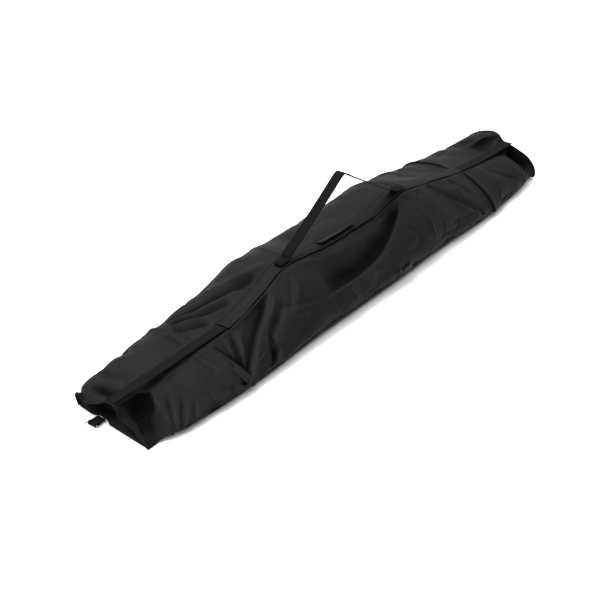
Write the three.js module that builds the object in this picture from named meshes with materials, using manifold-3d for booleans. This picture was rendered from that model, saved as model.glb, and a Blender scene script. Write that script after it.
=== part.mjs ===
// A long soft ski bag, zipped shut and lying on the floor, with its carry handle standing up.
// Millimetres. X runs along the bag from the tail end (-X) to the tip end (+X), Y = 0 is the
// middle of the flat strip along its top, and Z = 0 is the floor.
import * as THREE from 'three';
import { mergeVertices } from 'three/addons/utils/BufferGeometryUtils.js';
import Module from 'manifold-3d';

const wasm = await Module();
wasm.setup();

// ---------------------------------------------------------------- driving dimensions
const BAG_END = 900; // half the length of the bag's cloth
const SEAM_X = 594; // the seams where the tail and tip sections join the middle
const CLOTH = 2.5; // thickness given to the bag's cloth
const GAP = 0.3; // clearance between neighbouring pieces

// Cross-sections from tail to tip. Each row gives: x, height of the top, half width on the
// -Y side, half width on the +Y side, height of the widest point on each side, and how full
// the shoulder is on each side (1 is a straight slope, 2 is round, 3 is boxy).
const SECTIONS = [
  [-900, 58, 138, 114, 20, 24, 1.3, 1.5],
  [-860, 46, 150, 138, 20, 28, 1.4, 1.7],
  [-800, 50, 160, 152, 22, 30, 1.4, 1.9],
  [-700, 62, 167, 164, 22, 32, 1.4, 2.0],
  [-594, 70, 169, 172, 24, 36, 1.4, 2.1],
  [-500, 76, 168, 178, 30, 42, 1.5, 2.2],
  [-380, 110, 163, 184, 38, 50, 1.5, 2.2],
  [-266, 152, 160, 187, 45, 55, 1.5, 2.2],
  [-95, 138, 158, 190, 45, 57, 1.6, 2.5],
  [95, 138, 155, 194, 45, 58, 1.6, 2.6],
  [266, 163, 148, 200, 45, 58, 1.5, 2.3],
  [380, 146, 146, 202, 40, 54, 1.5, 2.3],
  [500, 124, 146, 200, 32, 50, 1.4, 2.3],
  [594, 110, 140, 194, 26, 48, 1.4, 2.4],
  [700, 98, 131, 186, 25, 46, 1.5, 2.5],
  [800, 90, 119, 178, 27, 48, 1.6, 2.7],
  [860, 80, 110, 173, 29, 50, 1.7, 2.9],
  [900, 94, 105, 168, 30, 52, 1.7, 3.0],
];
const STRIP_RIGHT = -26; // the flat strip along the top, from its -Y edge ...
const STRIP_LEFT = 22; // ... to its +Y edge
const FOOT = 28; // how far the bag curls in between its widest point and the floor
const SEAM_TURN = 1.1; // how far round that curl the base seam sits, in radians

const WEBBING = { width: 30, thickness: 2 };
const ANCHOR_X = 266; // the handle is sewn on this far to each side of the middle

const ZIP = { start: -500, end: SEAM_X, y: -10, coil: 3, coilTop: 0.4, coilDeep: 2.4 };
const SLIDER = { length: 16, width: 12, restX: 12 };
const PULL = { length: 32, width: 8, thickness: 1.2, lift: 2.0 };
const PLACKET = { start: -504, end: 592, right: -20, left: 21, top: 6.0, thickness: 1.4 };
const COVER = { start: -100, end: 50, hingeY: 14, width: 22, thickness: 1.5, lift: 6.4, flare: 4 };

const BUCKLE = { x: -932, y: 35, z: 3.8, length: 28, width: 36, bar: 3, thickness: 2.6 };
const BUCKLE_TAB = { width: 25, thickness: 1.8, rootX: -904 };
const LABEL = { x: 97, turn: 0.41, width: 45, height: 24, thickness: 1 };

const bag = new THREE.Group();

// ---------------------------------------------------------------- the shape of the bag
// Each column of the section table, joined by a smooth curve that never overshoots.
function slopeAt(rows, i, column) {
  if (i === 0 || i === rows.length - 1) {
    return 0;
  }
  const before = (rows[i][column] - rows[i - 1][column]) / (rows[i][0] - rows[i - 1][0]);
  const after = (rows[i + 1][column] - rows[i][column]) / (rows[i + 1][0] - rows[i][0]);
  return before * after <= 0 ? 0 : (2 * before * after) / (before + after);
}

function column(x, index) {
  const at = THREE.MathUtils.clamp(x, SECTIONS[0][0], SECTIONS[SECTIONS.length - 1][0]);
  const i = Math.max(1, SECTIONS.findIndex((row) => row[0] >= at));
  const [a, b] = [SECTIONS[i - 1], SECTIONS[i]];
  const step = b[0] - a[0];
  const u = (at - a[0]) / step;
  const startSlope = slopeAt(SECTIONS, i - 1, index) * step;
  const endSlope = slopeAt(SECTIONS, i, index) * step;
  const rise = u * u * (3 - 2 * u);
  const bend = startSlope * u * (1 - u) ** 2 - endSlope * u * u * (1 - u);
  return a[index] + (b[index] - a[index]) * rise + bend;
}

const crest = (x) => column(x, 1);
const halfWidth = (x, side) => column(x, side < 0 ? 2 : 3);
const widestHeight = (x, side) => column(x, side < 0 ? 4 : 5);
const fullness = (x, side) => column(x, side < 0 ? 6 : 7);

// The curl between the widest point (turn 0) and the floor (turn 90 degrees).
function footPoint(x, side, turn) {
  const y = halfWidth(x, side) - FOOT * (1 - Math.cos(turn));
  return { y: side * y, z: widestHeight(x, side) * (1 - Math.sin(turn)) };
}

// One side of the bag: t = 0 at the edge of the top strip, t = 1 at the base seam.
function sidePoint(x, side, t) {
  const turn = t * (Math.PI / 2 + SEAM_TURN);
  if (turn > Math.PI / 2) {
    return footPoint(x, side, turn - Math.PI / 2);
  }
  const edge = side < 0 ? -STRIP_RIGHT : STRIP_LEFT;
  const power = 2 / fullness(x, side);
  const low = widestHeight(x, side);
  const y = edge + (halfWidth(x, side) - edge) * Math.sin(turn) ** power;
  return { y: side * y, z: low + (crest(x) - low) * Math.max(0, Math.cos(turn)) ** power };
}

// Over the top from the -Y base seam (t = 0) to the +Y base seam (t = 1).
const OVER_STEPS = 13;
function overPoint(x, t) {
  const step = t * OVER_STEPS;
  if (step <= 6) {
    return sidePoint(x, -1, (6 - step) / 6.1);
  }
  if (step >= 7) {
    return sidePoint(x, 1, (step - 7) / 6.1);
  }
  return { y: THREE.MathUtils.lerp(STRIP_RIGHT, STRIP_LEFT, step - 6), z: crest(x) };
}

// Under the bag from the -Y base seam (t = 0) to the +Y base seam (t = 1).
function underPoint(x, t) {
  const curl = 0.3;
  const turn = (u) => THREE.MathUtils.lerp(SEAM_TURN, Math.PI / 2, u);
  if (t <= curl) {
    return footPoint(x, -1, turn(t / curl));
  }
  if (t >= 1 - curl) {
    return footPoint(x, 1, turn((1 - t) / curl));
  }
  const right = footPoint(x, -1, Math.PI / 2).y;
  const left = footPoint(x, 1, Math.PI / 2).y;
  return { y: THREE.MathUtils.mapLinear(t, curl, 1 - curl, right, left), z: 0 };
}

// ---------------------------------------------------------------- ways of making a piece
function finish(kind) {
  const looks = {
    cloth: { color: 0x17181a, roughness: 0.62, metalness: 0 },
    webbing: { color: 0x101113, roughness: 0.8, metalness: 0 },
    zip: { color: 0x1c1d1f, roughness: 0.5, metalness: 0 },
    label: { color: 0x1f2023, roughness: 0.7, metalness: 0 },
    steel: { color: 0xb9bcc0, roughness: 0.3, metalness: 1 },
  };
  return new THREE.MeshStandardMaterial(looks[kind]);
}

function addPiece(name, geometry, kind, parent = bag) {
  geometry.computeVertexNormals();
  const mesh = new THREE.Mesh(geometry, finish(kind));
  mesh.name = name;
  parent.add(mesh);
  return mesh;
}

// A layer of cloth bent onto place(x, t), its outer surface. A box is stretched along x and
// t, and its third direction goes into the cloth. turn is 1 where t runs towards +Y over
// the top of the cloth, and -1 where it runs the other way.
function bentCloth({ x, t = [0, 1], cells, thickness, place, turn = 1, inset = 0 }) {
  const geometry = new THREE.BoxGeometry(1, 1, 1, cells[0], cells[1], 1);
  const points = geometry.attributes.position;
  const nudge = 0.004 * (t[1] - t[0]);
  for (let i = 0; i < points.count; i++) {
    const atX = THREE.MathUtils.lerp(x[0], x[1], points.getX(i) + 0.5);
    const atT = THREE.MathUtils.lerp(t[0], t[1], points.getY(i) + 0.5);
    const depth = inset + thickness * (0.5 - points.getZ(i));
    const here = place(atX, atT);
    const back = place(atX, Math.max(t[0], atT - nudge));
    const ahead = place(atX, Math.min(t[1], atT + nudge));
    const run = Math.hypot(ahead.y - back.y, ahead.z - back.z);
    const outY = (-turn * (ahead.z - back.z)) / run;
    const outZ = (turn * (ahead.y - back.y)) / run;
    points.setXYZ(i, atX, here.y - outY * depth, here.z - outZ * depth);
  }
  if (turn < 0) {
    turnInsideOut(geometry);
  }
  return geometry;
}

function turnInsideOut(geometry) {
  const index = geometry.index;
  for (let i = 0; i < index.count; i += 3) {
    const first = index.getX(i);
    index.setX(i, index.getX(i + 1));
    index.setX(i + 1, first);
  }
}

// A flat run of cloth or tape lying along the top strip, from one y to another, with its
// upper face a given height above the strip.
function stripCloth(x, y, top, thickness, cells) {
  const place = (atX, t) => ({ y: THREE.MathUtils.lerp(y[0], y[1], t), z: crest(atX) + top });
  return bentCloth({ x, cells: [cells, 1], thickness, place });
}

function outlineShape(points) {
  return new THREE.Shape(points.map(([a, b]) => new THREE.Vector2(a, b)));
}

function extrude(shape, depth, curveSegments = 12) {
  return new THREE.ExtrudeGeometry(shape, { depth, bevelEnabled: false, curveSegments });
}

// Turns a shape drawn in Y and Z, and extruded, so that its depth runs along X.
const DRAWN_IN_YZ = new THREE.Matrix4().makeBasis(
  new THREE.Vector3(0, 1, 0),
  new THREE.Vector3(0, 0, 1),
  new THREE.Vector3(1, 0, 0),
);
// Turns a shape drawn in X and Z, and extruded, so that its depth runs along -Y.
const DRAWN_IN_XZ = new THREE.Matrix4().makeBasis(
  new THREE.Vector3(1, 0, 0),
  new THREE.Vector3(0, 0, 1),
  new THREE.Vector3(0, -1, 0),
);

function toSolid(geometry) {
  const bare = geometry.clone();
  bare.deleteAttribute('normal');
  bare.deleteAttribute('uv');
  const merged = mergeVertices(bare, 1e-4);
  return new wasm.Manifold(
    new wasm.Mesh({
      numProp: 3,
      vertProperties: new Float32Array(merged.attributes.position.array),
      triVerts: new Uint32Array(merged.index.array),
    }),
  );
}

function toGeometry(solid) {
  const mesh = solid.getMesh();
  const geometry = new THREE.BufferGeometry();
  geometry.setAttribute('position', new THREE.BufferAttribute(mesh.vertProperties, 3));
  geometry.setIndex(new THREE.BufferAttribute(mesh.triVerts, 1));
  return geometry;
}

function join(geometries) {
  return toGeometry(geometries.map(toSolid).reduce((whole, piece) => whole.add(piece)));
}

function cut(geometry, tools) {
  return toGeometry(tools.map(toSolid).reduce((left, tool) => left.subtract(tool), toSolid(geometry)));
}

// ---------------------------------------------------------------- the bag's cloth
function addShell() {
  const side = (at, y) => ({
    x: at,
    t: [0, 0.983],
    cells: [20, 6],
    thickness: CLOTH,
    turn: y,
    place: (x, t) => sidePoint(x, y, t),
  });
  const middle = [-SEAM_X, SEAM_X];
  addPiece('base_panel', bentCloth({
    x: [-BAG_END, BAG_END], cells: [26, 10], thickness: CLOTH, turn: -1, place: underPoint,
  }), 'cloth');
  addPiece('middle_panel_right', bentCloth(side(middle, -1)), 'cloth');
  addPiece('middle_panel_left', bentCloth(side(middle, 1)), 'cloth');
  addPiece('tail_section', bentCloth({
    x: [-BAG_END, -SEAM_X - GAP], cells: [7, OVER_STEPS], thickness: CLOTH, place: overPoint,
  }), 'cloth');
  addPiece('tip_section', bentCloth({
    x: [SEAM_X + GAP, BAG_END], cells: [7, OVER_STEPS], thickness: CLOTH, place: overPoint,
  }), 'cloth');
  const patchY = [STRIP_RIGHT + GAP, STRIP_LEFT - GAP];
  addPiece('crest_patch', stripCloth([-SEAM_X, ZIP.start - GAP], patchY, 0, CLOTH, 3), 'cloth');
}

// The tapes that bind the two cross seams inside the bag.
function addSeamTapes() {
  const half = 12;
  for (const [name, at] of [['tail_seam_tape', -SEAM_X], ['tip_seam_tape', SEAM_X]]) {
    addPiece(name, bentCloth({
      x: [at - half, at + half],
      cells: [2, OVER_STEPS],
      thickness: 1.2,
      inset: CLOTH + GAP,
      place: overPoint,
    }), 'webbing');
  }
}

// The upright panel that closes each end, standing just inside the rim. Its outline is the
// bag's, drawn in by a little; points that would fold back on themselves in a tight corner
// are left out.
function endOutline(x, inset) {
  const points = [];
  const put = (place, t, step) => {
    const at = (u) => place(x, THREE.MathUtils.clamp(u, 0, 1));
    const [back, here, ahead] = [t - step, t, t + step].map(at);
    const along = new THREE.Vector2(ahead.y - back.y, ahead.z - back.z).normalize();
    const point = new THREE.Vector2(here.y + along.y * inset, here.z - along.x * inset);
    const last = points[points.length - 1];
    if (!last || point.clone().sub(last).dot(along) > 0.5) {
      points.push(point);
    }
  };
  const steps = 26;
  for (let i = 1; i < steps; i++) {
    put(overPoint, i / steps, 0.01);
  }
  for (const t of [0.85, 0.7, 0.3, 0.15]) {
    put(underPoint, t, -0.01);
  }
  return new THREE.Shape(points);
}

function addEndPanels() {
  const inset = CLOTH + 3;
  const setBack = 3;
  for (const [name, end] of [['tail_end_panel', -1], ['tip_end_panel', 1]]) {
    const outer = end * (BAG_END - setBack);
    const inner = outer - end * CLOTH;
    const panel = extrude(endOutline(inner, inset), CLOTH);
    panel.applyMatrix4(DRAWN_IN_YZ);
    addPiece(name, panel, 'cloth').position.x = Math.min(outer, inner);
  }
}

// The corded edge round each end, from one base seam over the top to the other.
function addPipings() {
  const radius = 2.5;
  const steps = 26;
  const cord = new THREE.Shape().absarc(0, 0, radius, 0, Math.PI * 2);
  for (const [name, end] of [['tail_piping', -1], ['tip_piping', 1]]) {
    const x = end * (BAG_END + radius + GAP);
    const route = [];
    for (let i = 0; i <= steps; i++) {
      const { y, z } = overPoint(x, i / steps);
      route.push(new THREE.Vector3(x, y * 0.985, z - radius * Math.min(1, z / 30)));
    }
    const path = new THREE.CatmullRomCurve3(route);
    const options = { steps: 40, bevelEnabled: false, extrudePath: path, curveSegments: 4 };
    addPiece(name, new THREE.ExtrudeGeometry(cord, options), 'webbing');
  }
}

// ---------------------------------------------------------------- the zip under its placket
function addZip() {
  const half = ZIP.coil;
  const chain = [ZIP.start + 10, ZIP.end - 10];
  const tapeTop = -0.6;
  const tapeThickness = 1;
  const rightTape = [STRIP_RIGHT + GAP, ZIP.y - half - GAP];
  const leftTape = [ZIP.y + half + GAP, STRIP_LEFT - GAP];
  const run = [ZIP.start, ZIP.end - GAP];
  addPiece('zip_tape_right', stripCloth(run, rightTape, tapeTop, tapeThickness, 24), 'zip');
  addPiece('zip_tape_left', stripCloth(run, leftTape, tapeTop, tapeThickness, 24), 'zip');
  const rightCoil = [ZIP.y - half, ZIP.y - GAP / 2];
  const leftCoil = [ZIP.y + GAP / 2, ZIP.y + half];
  addPiece('zip_coil_right', stripCloth(chain, rightCoil, ZIP.coilTop, ZIP.coilDeep, 24), 'zip');
  addPiece('zip_coil_left', stripCloth(chain, leftCoil, ZIP.coilTop, ZIP.coilDeep, 24), 'zip');
  const stopY = [ZIP.y - half, ZIP.y + half];
  const stop = (from) => stripCloth([from, from + 8], stopY, 1.2, 3.2, 1);
  addPiece('zip_stop_tail', stop(ZIP.start + 1), 'steel');
  addPiece('zip_stop_tip', stop(ZIP.end - 9), 'steel');
}

// The cloth flap over the zip: sewn down along its +Y edge, open along its -Y edge.
function addPlacket() {
  const place = (x, t) => {
    const fall = THREE.MathUtils.smoothstep(t, 0.7, 1) * 4.3;
    const y = THREE.MathUtils.lerp(PLACKET.right, PLACKET.left, t);
    return { y, z: crest(x) + PLACKET.top - fall };
  };
  addPiece('zip_placket', bentCloth({
    x: [PLACKET.start, PLACKET.end], cells: [24, 6], thickness: PLACKET.thickness, place,
  }), 'cloth');
}

// A slider saddles the closed chain, with a rivet on its back for the pull. All its heights
// are counted from the top strip.
function sliderGeometry() {
  const [half, inner] = [SLIDER.width / 2, ZIP.coil + GAP];
  const [skirt, roof, top] = [-0.2, 0.8, 1.7];
  const saddle = outlineShape([
    [-half, skirt], [-inner, skirt], [-inner, roof], [inner, roof],
    [inner, skirt], [half, skirt], [half, top], [-half, top],
  ]);
  const body = extrude(saddle, SLIDER.length);
  body.applyMatrix4(DRAWN_IN_YZ);
  body.translate(-SLIDER.length / 2, 0, 0);
  const sunk = 0.4;
  const rivetTop = 3.6;
  const rivet = new THREE.CylinderGeometry(1.5, 1.5, rivetTop - top + sunk, 16);
  rivet.rotateX(Math.PI / 2);
  rivet.translate(0, 0, (rivetTop + top - sunk) / 2);
  const head = new THREE.CylinderGeometry(3, 3, 0.8, 16);
  head.rotateX(Math.PI / 2);
  head.translate(0, 0, rivetTop + 0.2);
  return join([body, rivet, head]);
}

// A slim tongue with an eye round the rivet at its origin, pointing along +X.
function pullGeometry() {
  const half = PULL.width / 2;
  const outline = new THREE.Shape();
  outline.absarc(0, 0, half, Math.PI / 2, (Math.PI * 3) / 2);
  outline.absarc(PULL.length - half, 0, half, -Math.PI / 2, Math.PI / 2);
  const eye = new THREE.Path().absarc(0, 0, 1.9, 0, Math.PI * 2);
  outline.holes.push(eye);
  return extrude(outline, PULL.thickness, 8);
}

function addSliders() {
  for (const [end, towards] of [['tail', -1], ['tip', 1]]) {
    const at = new THREE.Group();
    at.position.set(towards * SLIDER.restX, ZIP.y, crest(0));
    bag.add(at);
    addPiece(`${end}_slider`, sliderGeometry(), 'zip', at);
    const pull = addPiece(`${end}_pull`, pullGeometry(), 'zip', at);
    pull.position.z = PULL.lift;
    pull.rotation.z = towards > 0 ? 0 : Math.PI;
  }
}

// A short flap sewn on top of the placket along its +Y edge, its other edges left free.
function addCover() {
  const place = (x, t) => {
    const rise = COVER.flare * (1 - t) ** 2;
    const y = COVER.hingeY - COVER.width * (1 - t);
    return { y, z: crest(x) + COVER.lift + COVER.thickness + rise };
  };
  addPiece('slider_cover_tab', bentCloth({
    x: [COVER.start, COVER.end], cells: [4, 4], thickness: COVER.thickness, place,
  }), 'cloth');
}

// ---------------------------------------------------------------- webbing
// A strap whose underside follows a line of heights along the bag.
function topStrap(x, underside, cells) {
  const half = WEBBING.width / 2;
  const place = (atX, t) => ({
    y: THREE.MathUtils.lerp(-half, half, t),
    z: underside(atX) + WEBBING.thickness,
  });
  return bentCloth({ x, cells: [cells, 2], thickness: WEBBING.thickness, place });
}

function addTopStraps() {
  const tail = [-BAG_END, PLACKET.start - 1];
  const tailUnderside = (x) => THREE.MathUtils.mapLinear(x, tail[0], tail[1], 60.3, 76.6);
  addPiece('tail_strap', topStrap(tail, tailUnderside, 4), 'webbing');
  const touchX = 700; // up to here the tip strap lies on the cloth, then it spans to the rim
  const rimHeight = 95;
  const tipUnderside = (x) => {
    if (x <= touchX) {
      return crest(x) + 0.4;
    }
    return THREE.MathUtils.mapLinear(x, touchX, BAG_END, crest(touchX) + 0.4, rimHeight);
  };
  addPiece('tip_strap', topStrap([SEAM_X + 1, BAG_END], tipUnderside, 9), 'webbing');
}

function addAnchorPatches() {
  const half = 17;
  const top = PLACKET.top + GAP + 1.2;
  for (const [name, x] of [['anchor_patch_tail', -ANCHOR_X], ['anchor_patch_tip', ANCHOR_X]]) {
    const y = [-WEBBING.width / 2, WEBBING.width / 2];
    addPiece(name, stripCloth([x - half, x + half], y, top, 1.2, 4), 'webbing');
  }
}

// The carry handle: one length of webbing, standing as a pointed arch. Its ends narrow to
// where they turn on the patches.
const HANDLE = { axis: 14, below: 8, apexX: -10, apexZ: 322, bend: 16, neck: 100, endHalf: 3 };

function handlePath() {
  const foot = (x) => new THREE.Vector2(x, crest(x) + HANDLE.axis);
  const [tail, tip] = [foot(-ANCHOR_X), foot(ANCHOR_X)];
  const peak = new THREE.Vector2(HANDLE.apexX, HANDLE.apexZ + 5);
  const along = (from, distance) => from.clone().add(
    peak.clone().sub(from).setLength(distance),
  );
  const nearPeak = (from) => along(from, from.distanceTo(peak) - HANDLE.bend);
  const [nearTail, nearTip] = [tail, tip].map(nearPeak);
  const path = new THREE.CurvePath();
  path.add(new THREE.LineCurve(along(tail, -HANDLE.below), nearTail));
  path.add(new THREE.QuadraticBezierCurve(nearTail, peak, nearTip));
  path.add(new THREE.LineCurve(nearTip, along(tip, -HANDLE.below)));
  return path;
}

function addHandle() {
  const path = handlePath();
  const length = path.getLength();
  const geometry = new THREE.BoxGeometry(1, 1, 1, 44, 2, 1);
  const points = geometry.attributes.position;
  for (let i = 0; i < points.count; i++) {
    const u = points.getX(i) + 0.5;
    const centre = path.getPoint(u);
    const ahead = path.getPoint(Math.min(1, u + 0.002));
    const back = path.getPoint(Math.max(0, u - 0.002));
    const run = ahead.clone().sub(back).normalize();
    const fromEnd = Math.min(u, 1 - u) * length;
    const grown = THREE.MathUtils.clamp(fromEnd / HANDLE.neck, 0, 1);
    const half = THREE.MathUtils.lerp(HANDLE.endHalf, WEBBING.width / 2, grown);
    const out = points.getZ(i) * WEBBING.thickness;
    points.setXYZ(i, centre.x - run.y * out, points.getY(i) * 2 * half, centre.y + run.x * out);
  }
  addPiece('handle_strap', geometry, 'webbing');
}

// ---------------------------------------------------------------- the buckle at the tail
function addBuckle() {
  const { length, width, bar, thickness } = BUCKLE;
  const slotLength = (length - 3 * bar) / 2;
  const slots = [-1, 1].map((towards) => {
    const slot = new THREE.BoxGeometry(slotLength, width - 2 * bar, 2 * thickness);
    return slot.translate((towards * (slotLength + bar)) / 2, 0, 0);
  });
  const frame = cut(new THREE.BoxGeometry(length, width, thickness), slots);
  addPiece('tail_buckle', frame, 'steel').position.set(BUCKLE.x, BUCKLE.y, BUCKLE.z);
}

// The webbing tab is a strip with a loop at its end, round the middle bar of the buckle.
function addBuckleTab() {
  const [outer, inner] = [3.6, 2.2];
  const run = BUCKLE_TAB.rootX - BUCKLE.x;
  const under = outer - BUCKLE_TAB.thickness;
  const meet = Math.asin(under / outer);
  const profile = new THREE.Shape();
  profile.moveTo(run, under);
  profile.lineTo(run, outer);
  profile.lineTo(0, outer);
  profile.absarc(0, 0, outer, Math.PI / 2, Math.PI * 2 + meet);
  profile.closePath();
  profile.holes.push(new THREE.Path().absarc(0, 0, inner, 0, Math.PI * 2));
  const tab = extrude(profile, BUCKLE_TAB.width, 8);
  tab.applyMatrix4(DRAWN_IN_XZ);
  const piece = addPiece('buckle_tab', tab, 'webbing');
  piece.position.set(BUCKLE.x, BUCKLE.y + BUCKLE_TAB.width / 2, BUCKLE.z);
}

// A blank woven label, sewn by its lower edge just above the base seam on the -Y side and
// standing against the bag.
function addLabel() {
  const foot = footPoint(LABEL.x, -1, LABEL.turn);
  const above = footPoint(LABEL.x, -1, LABEL.turn - 0.05);
  const geometry = new THREE.BoxGeometry(LABEL.width, LABEL.thickness, LABEL.height, 1, 1, 1);
  geometry.translate(0, 0, LABEL.height / 2);
  const label = addPiece('seam_label', geometry, 'label');
  label.rotation.x = Math.atan2(foot.y - above.y, above.z - foot.z);
  const clear = 2;
  label.position.set(LABEL.x, foot.y - clear, foot.z);
}

addShell();
addSeamTapes();
addEndPanels();
addPipings();
addZip();
addPlacket();
addSliders();
addCover();
addTopStraps();
addAnchorPatches();
addHandle();
addBuckle();
addBuckleTab();
addLabel();

export default bag;
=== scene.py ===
# %% [markdown]
# # A long ski bag, zipped shut and lying on the floor
# The frame that this script loads is the working design: where each panel, strap and slider
# sits, and what turns on what. The solids in it are plain. Here every soft piece is made
# again as cloth or webbing, in the place that the design gives it.

# %% Load the frame
import math

import bpy
import numpy as np
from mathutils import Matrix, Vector


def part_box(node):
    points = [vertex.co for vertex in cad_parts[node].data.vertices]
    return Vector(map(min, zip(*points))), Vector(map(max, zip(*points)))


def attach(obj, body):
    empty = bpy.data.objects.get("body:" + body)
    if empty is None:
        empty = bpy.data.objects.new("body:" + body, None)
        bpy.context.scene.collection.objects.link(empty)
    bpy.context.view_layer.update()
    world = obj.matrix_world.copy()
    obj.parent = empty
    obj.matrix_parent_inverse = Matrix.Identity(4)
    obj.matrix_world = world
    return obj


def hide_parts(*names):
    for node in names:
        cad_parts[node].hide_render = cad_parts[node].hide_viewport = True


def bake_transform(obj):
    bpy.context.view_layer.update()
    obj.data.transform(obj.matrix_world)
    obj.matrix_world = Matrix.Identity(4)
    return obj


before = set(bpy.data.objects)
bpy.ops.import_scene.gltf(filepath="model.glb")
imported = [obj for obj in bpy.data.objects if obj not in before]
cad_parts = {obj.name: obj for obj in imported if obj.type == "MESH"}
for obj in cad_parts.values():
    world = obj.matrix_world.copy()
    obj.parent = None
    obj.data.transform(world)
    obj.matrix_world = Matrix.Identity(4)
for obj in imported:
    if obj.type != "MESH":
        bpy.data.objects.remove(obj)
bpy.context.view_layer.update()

MM = 0.001

# %% [markdown]
# ## The camera
# The bag is looked at from its tail end and from well above, with a long lens, so that its
# far end is hardly smaller than its near one. The camera stands on a line that leaves the
# point it aims at, at a given angle round the bag and a given angle above the floor.

# %% Set up the camera
AIM = Vector((-0.111, 0.058, -0.043))
CAMERA_DISTANCE = 3.82
CAMERA_ROUND = math.radians(-52.4)
CAMERA_ABOVE = math.radians(29.7)
LENS = 83.04

back = Vector((
    math.sin(CAMERA_ROUND) * math.cos(CAMERA_ABOVE),
    -math.cos(CAMERA_ROUND) * math.cos(CAMERA_ABOVE),
    math.sin(CAMERA_ABOVE),
))
camera_data = bpy.data.cameras.new("camera")
camera_data.lens = LENS
camera = bpy.data.objects.new("camera", camera_data)
camera.location = AIM + back * CAMERA_DISTANCE
camera.rotation_mode = "QUATERNION"
camera.rotation_quaternion = (-back).to_track_quat("-Z", "Y")
bpy.context.scene.collection.objects.link(camera)
bpy.context.scene.camera = camera
print("the camera stands at", [round(v, 2) for v in camera.location])

# %% [markdown]
# ## The maths of a finish
# A finish is a tree of shader nodes. To read like a formula, each socket is wrapped in a
# small class, so that `1 - mask * 0.3` adds the Math nodes by itself. Every other node comes
# from one method, `node`, which takes its type, its settings and what goes into it. The
# nodes could be placed by hand in the shader editor, but then each finish would have to be
# made again for every new cloth, and here one function makes a whole family.

# %% A socket that can be used in a sum
class Socket:
    """The output of a node. Sums and products with it add Math nodes to its finish."""

    def __init__(self, finish, output):
        self.finish = finish
        self.output = output

    def maths(self, operation, *values):
        return self.finish.node("ShaderNodeMath", {"operation": operation}, dict(enumerate(values)))

    def __add__(self, other):
        return self.maths("ADD", self, other)

    def __sub__(self, other):
        return self.maths("SUBTRACT", self, other)

    def __rsub__(self, other):
        return self.maths("SUBTRACT", other, self)

    def __mul__(self, other):
        return self.maths("MULTIPLY", self, other)

    __radd__ = __add__
    __rmul__ = __mul__

    def sin(self):
        return self.maths("SINE", self)

    def clamp(self, low, high):
        """0 below low, 1 above high, and an even rise between."""
        return self.finish.node(
            "ShaderNodeMapRange",
            {"interpolation_type": "SMOOTHSTEP"},
            {"Value": self, "From Min": low, "From Max": high},
        )


# %% A finish, built node by node
class Finish:
    """A material whose numbers that never change are set on the shader itself."""

    def __init__(self, name, **fixed):
        self.material = bpy.data.materials.new(name)
        self.material.use_nodes = True
        self.tree = self.material.node_tree
        self.shader = self.tree.nodes["Principled BSDF"]
        for socket, value in fixed.items():
            self.shader.inputs[socket.replace("_", " ")].default_value = value

    def connect(self, socket, value):
        if isinstance(value, Socket):
            self.tree.links.new(value.output, socket)
        else:
            socket.default_value = value

    def node(self, kind, settings=None, inputs=None, output=0):
        node = self.tree.nodes.new(kind)
        for name, value in (settings or {}).items():
            if name == "stops":
                self.set_stops(node.color_ramp.elements, value)
            else:
                setattr(node, name, value)
        for name, value in (inputs or {}).items():
            self.connect(node.inputs[name], value)
        return Socket(self, node.outputs[output])

    @staticmethod
    def set_stops(elements, stops):
        while len(elements) < len(stops):
            elements.new(0.5)
        for element, (position, colour) in zip(elements, stops):
            element.position = position
            element.color = colour

    def feed(self, **inputs):
        for socket, value in inputs.items():
            self.connect(self.shader.inputs[socket.replace("_", " ")], value)

    def place(self, uv=None):
        """The place on the cloth in metres, as a vector, or in space where there is no map."""
        if uv:
            return self.node("ShaderNodeUVMap", {"uv_map": uv})
        return self.node("ShaderNodeTexCoord", output="Object")

    def noise(self, at, size, detail=2.0, rough=0.5, stretch=(1, 1, 1)):
        """Soft noise from 0 to 1 whose patches are about size metres across."""
        scaled = self.node(
            "ShaderNodeVectorMath",
            {"operation": "MULTIPLY"},
            {0: at, 1: tuple(s / size for s in stretch)},
        )
        settings = {"Vector": scaled, "Scale": 1.0, "Detail": detail, "Roughness": rough}
        return self.node("ShaderNodeTexNoise", inputs=settings)

    def parts(self, at):
        """The three numbers of a vector."""
        split = self.node("ShaderNodeSeparateXYZ", inputs={0: at}).output.node
        return [Socket(self, output) for output in split.outputs]

    def blend(self, share, a, b):
        """Colour a where share is 0, and b where it is 1."""
        return self.node(
            "ShaderNodeMix",
            {"data_type": "RGBA"},
            {"Factor": share, 6: a, 7: b},
            output=2,
        )

    def bump(self, height, depth, before=None):
        """Relief of a real depth in metres, on top of any relief before it."""
        inputs = {"Strength": 1.0, "Distance": depth, "Height": height}
        if before:
            inputs["Normal"] = before
        return self.node("ShaderNodeBump", inputs=inputs)


def grey(value, warmth=0.0):
    """A neutral colour, a little warmer or cooler."""
    return (value * (1 + warmth), value, value * (1 - warmth), 1.0)


# %% [markdown]
# ## The finishes
# The bag is cut from black polyester with a plain weave and a thin coating, so it has a soft
# grey shine rather than the dead black of cotton. Its threads are half a millimetre apart.
# Where folds rub, the yarn is polished a little paler. The weave and the finest crinkle are
# too small to be worth a mesh, so they are relief in the finish. The folds themselves are
# real shape. Each sheet also carries a mask of painted shade, which paints deep folds and the
# fallen ends darker.

# %% Bag cloth
THREAD = 0.55 * MM


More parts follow.
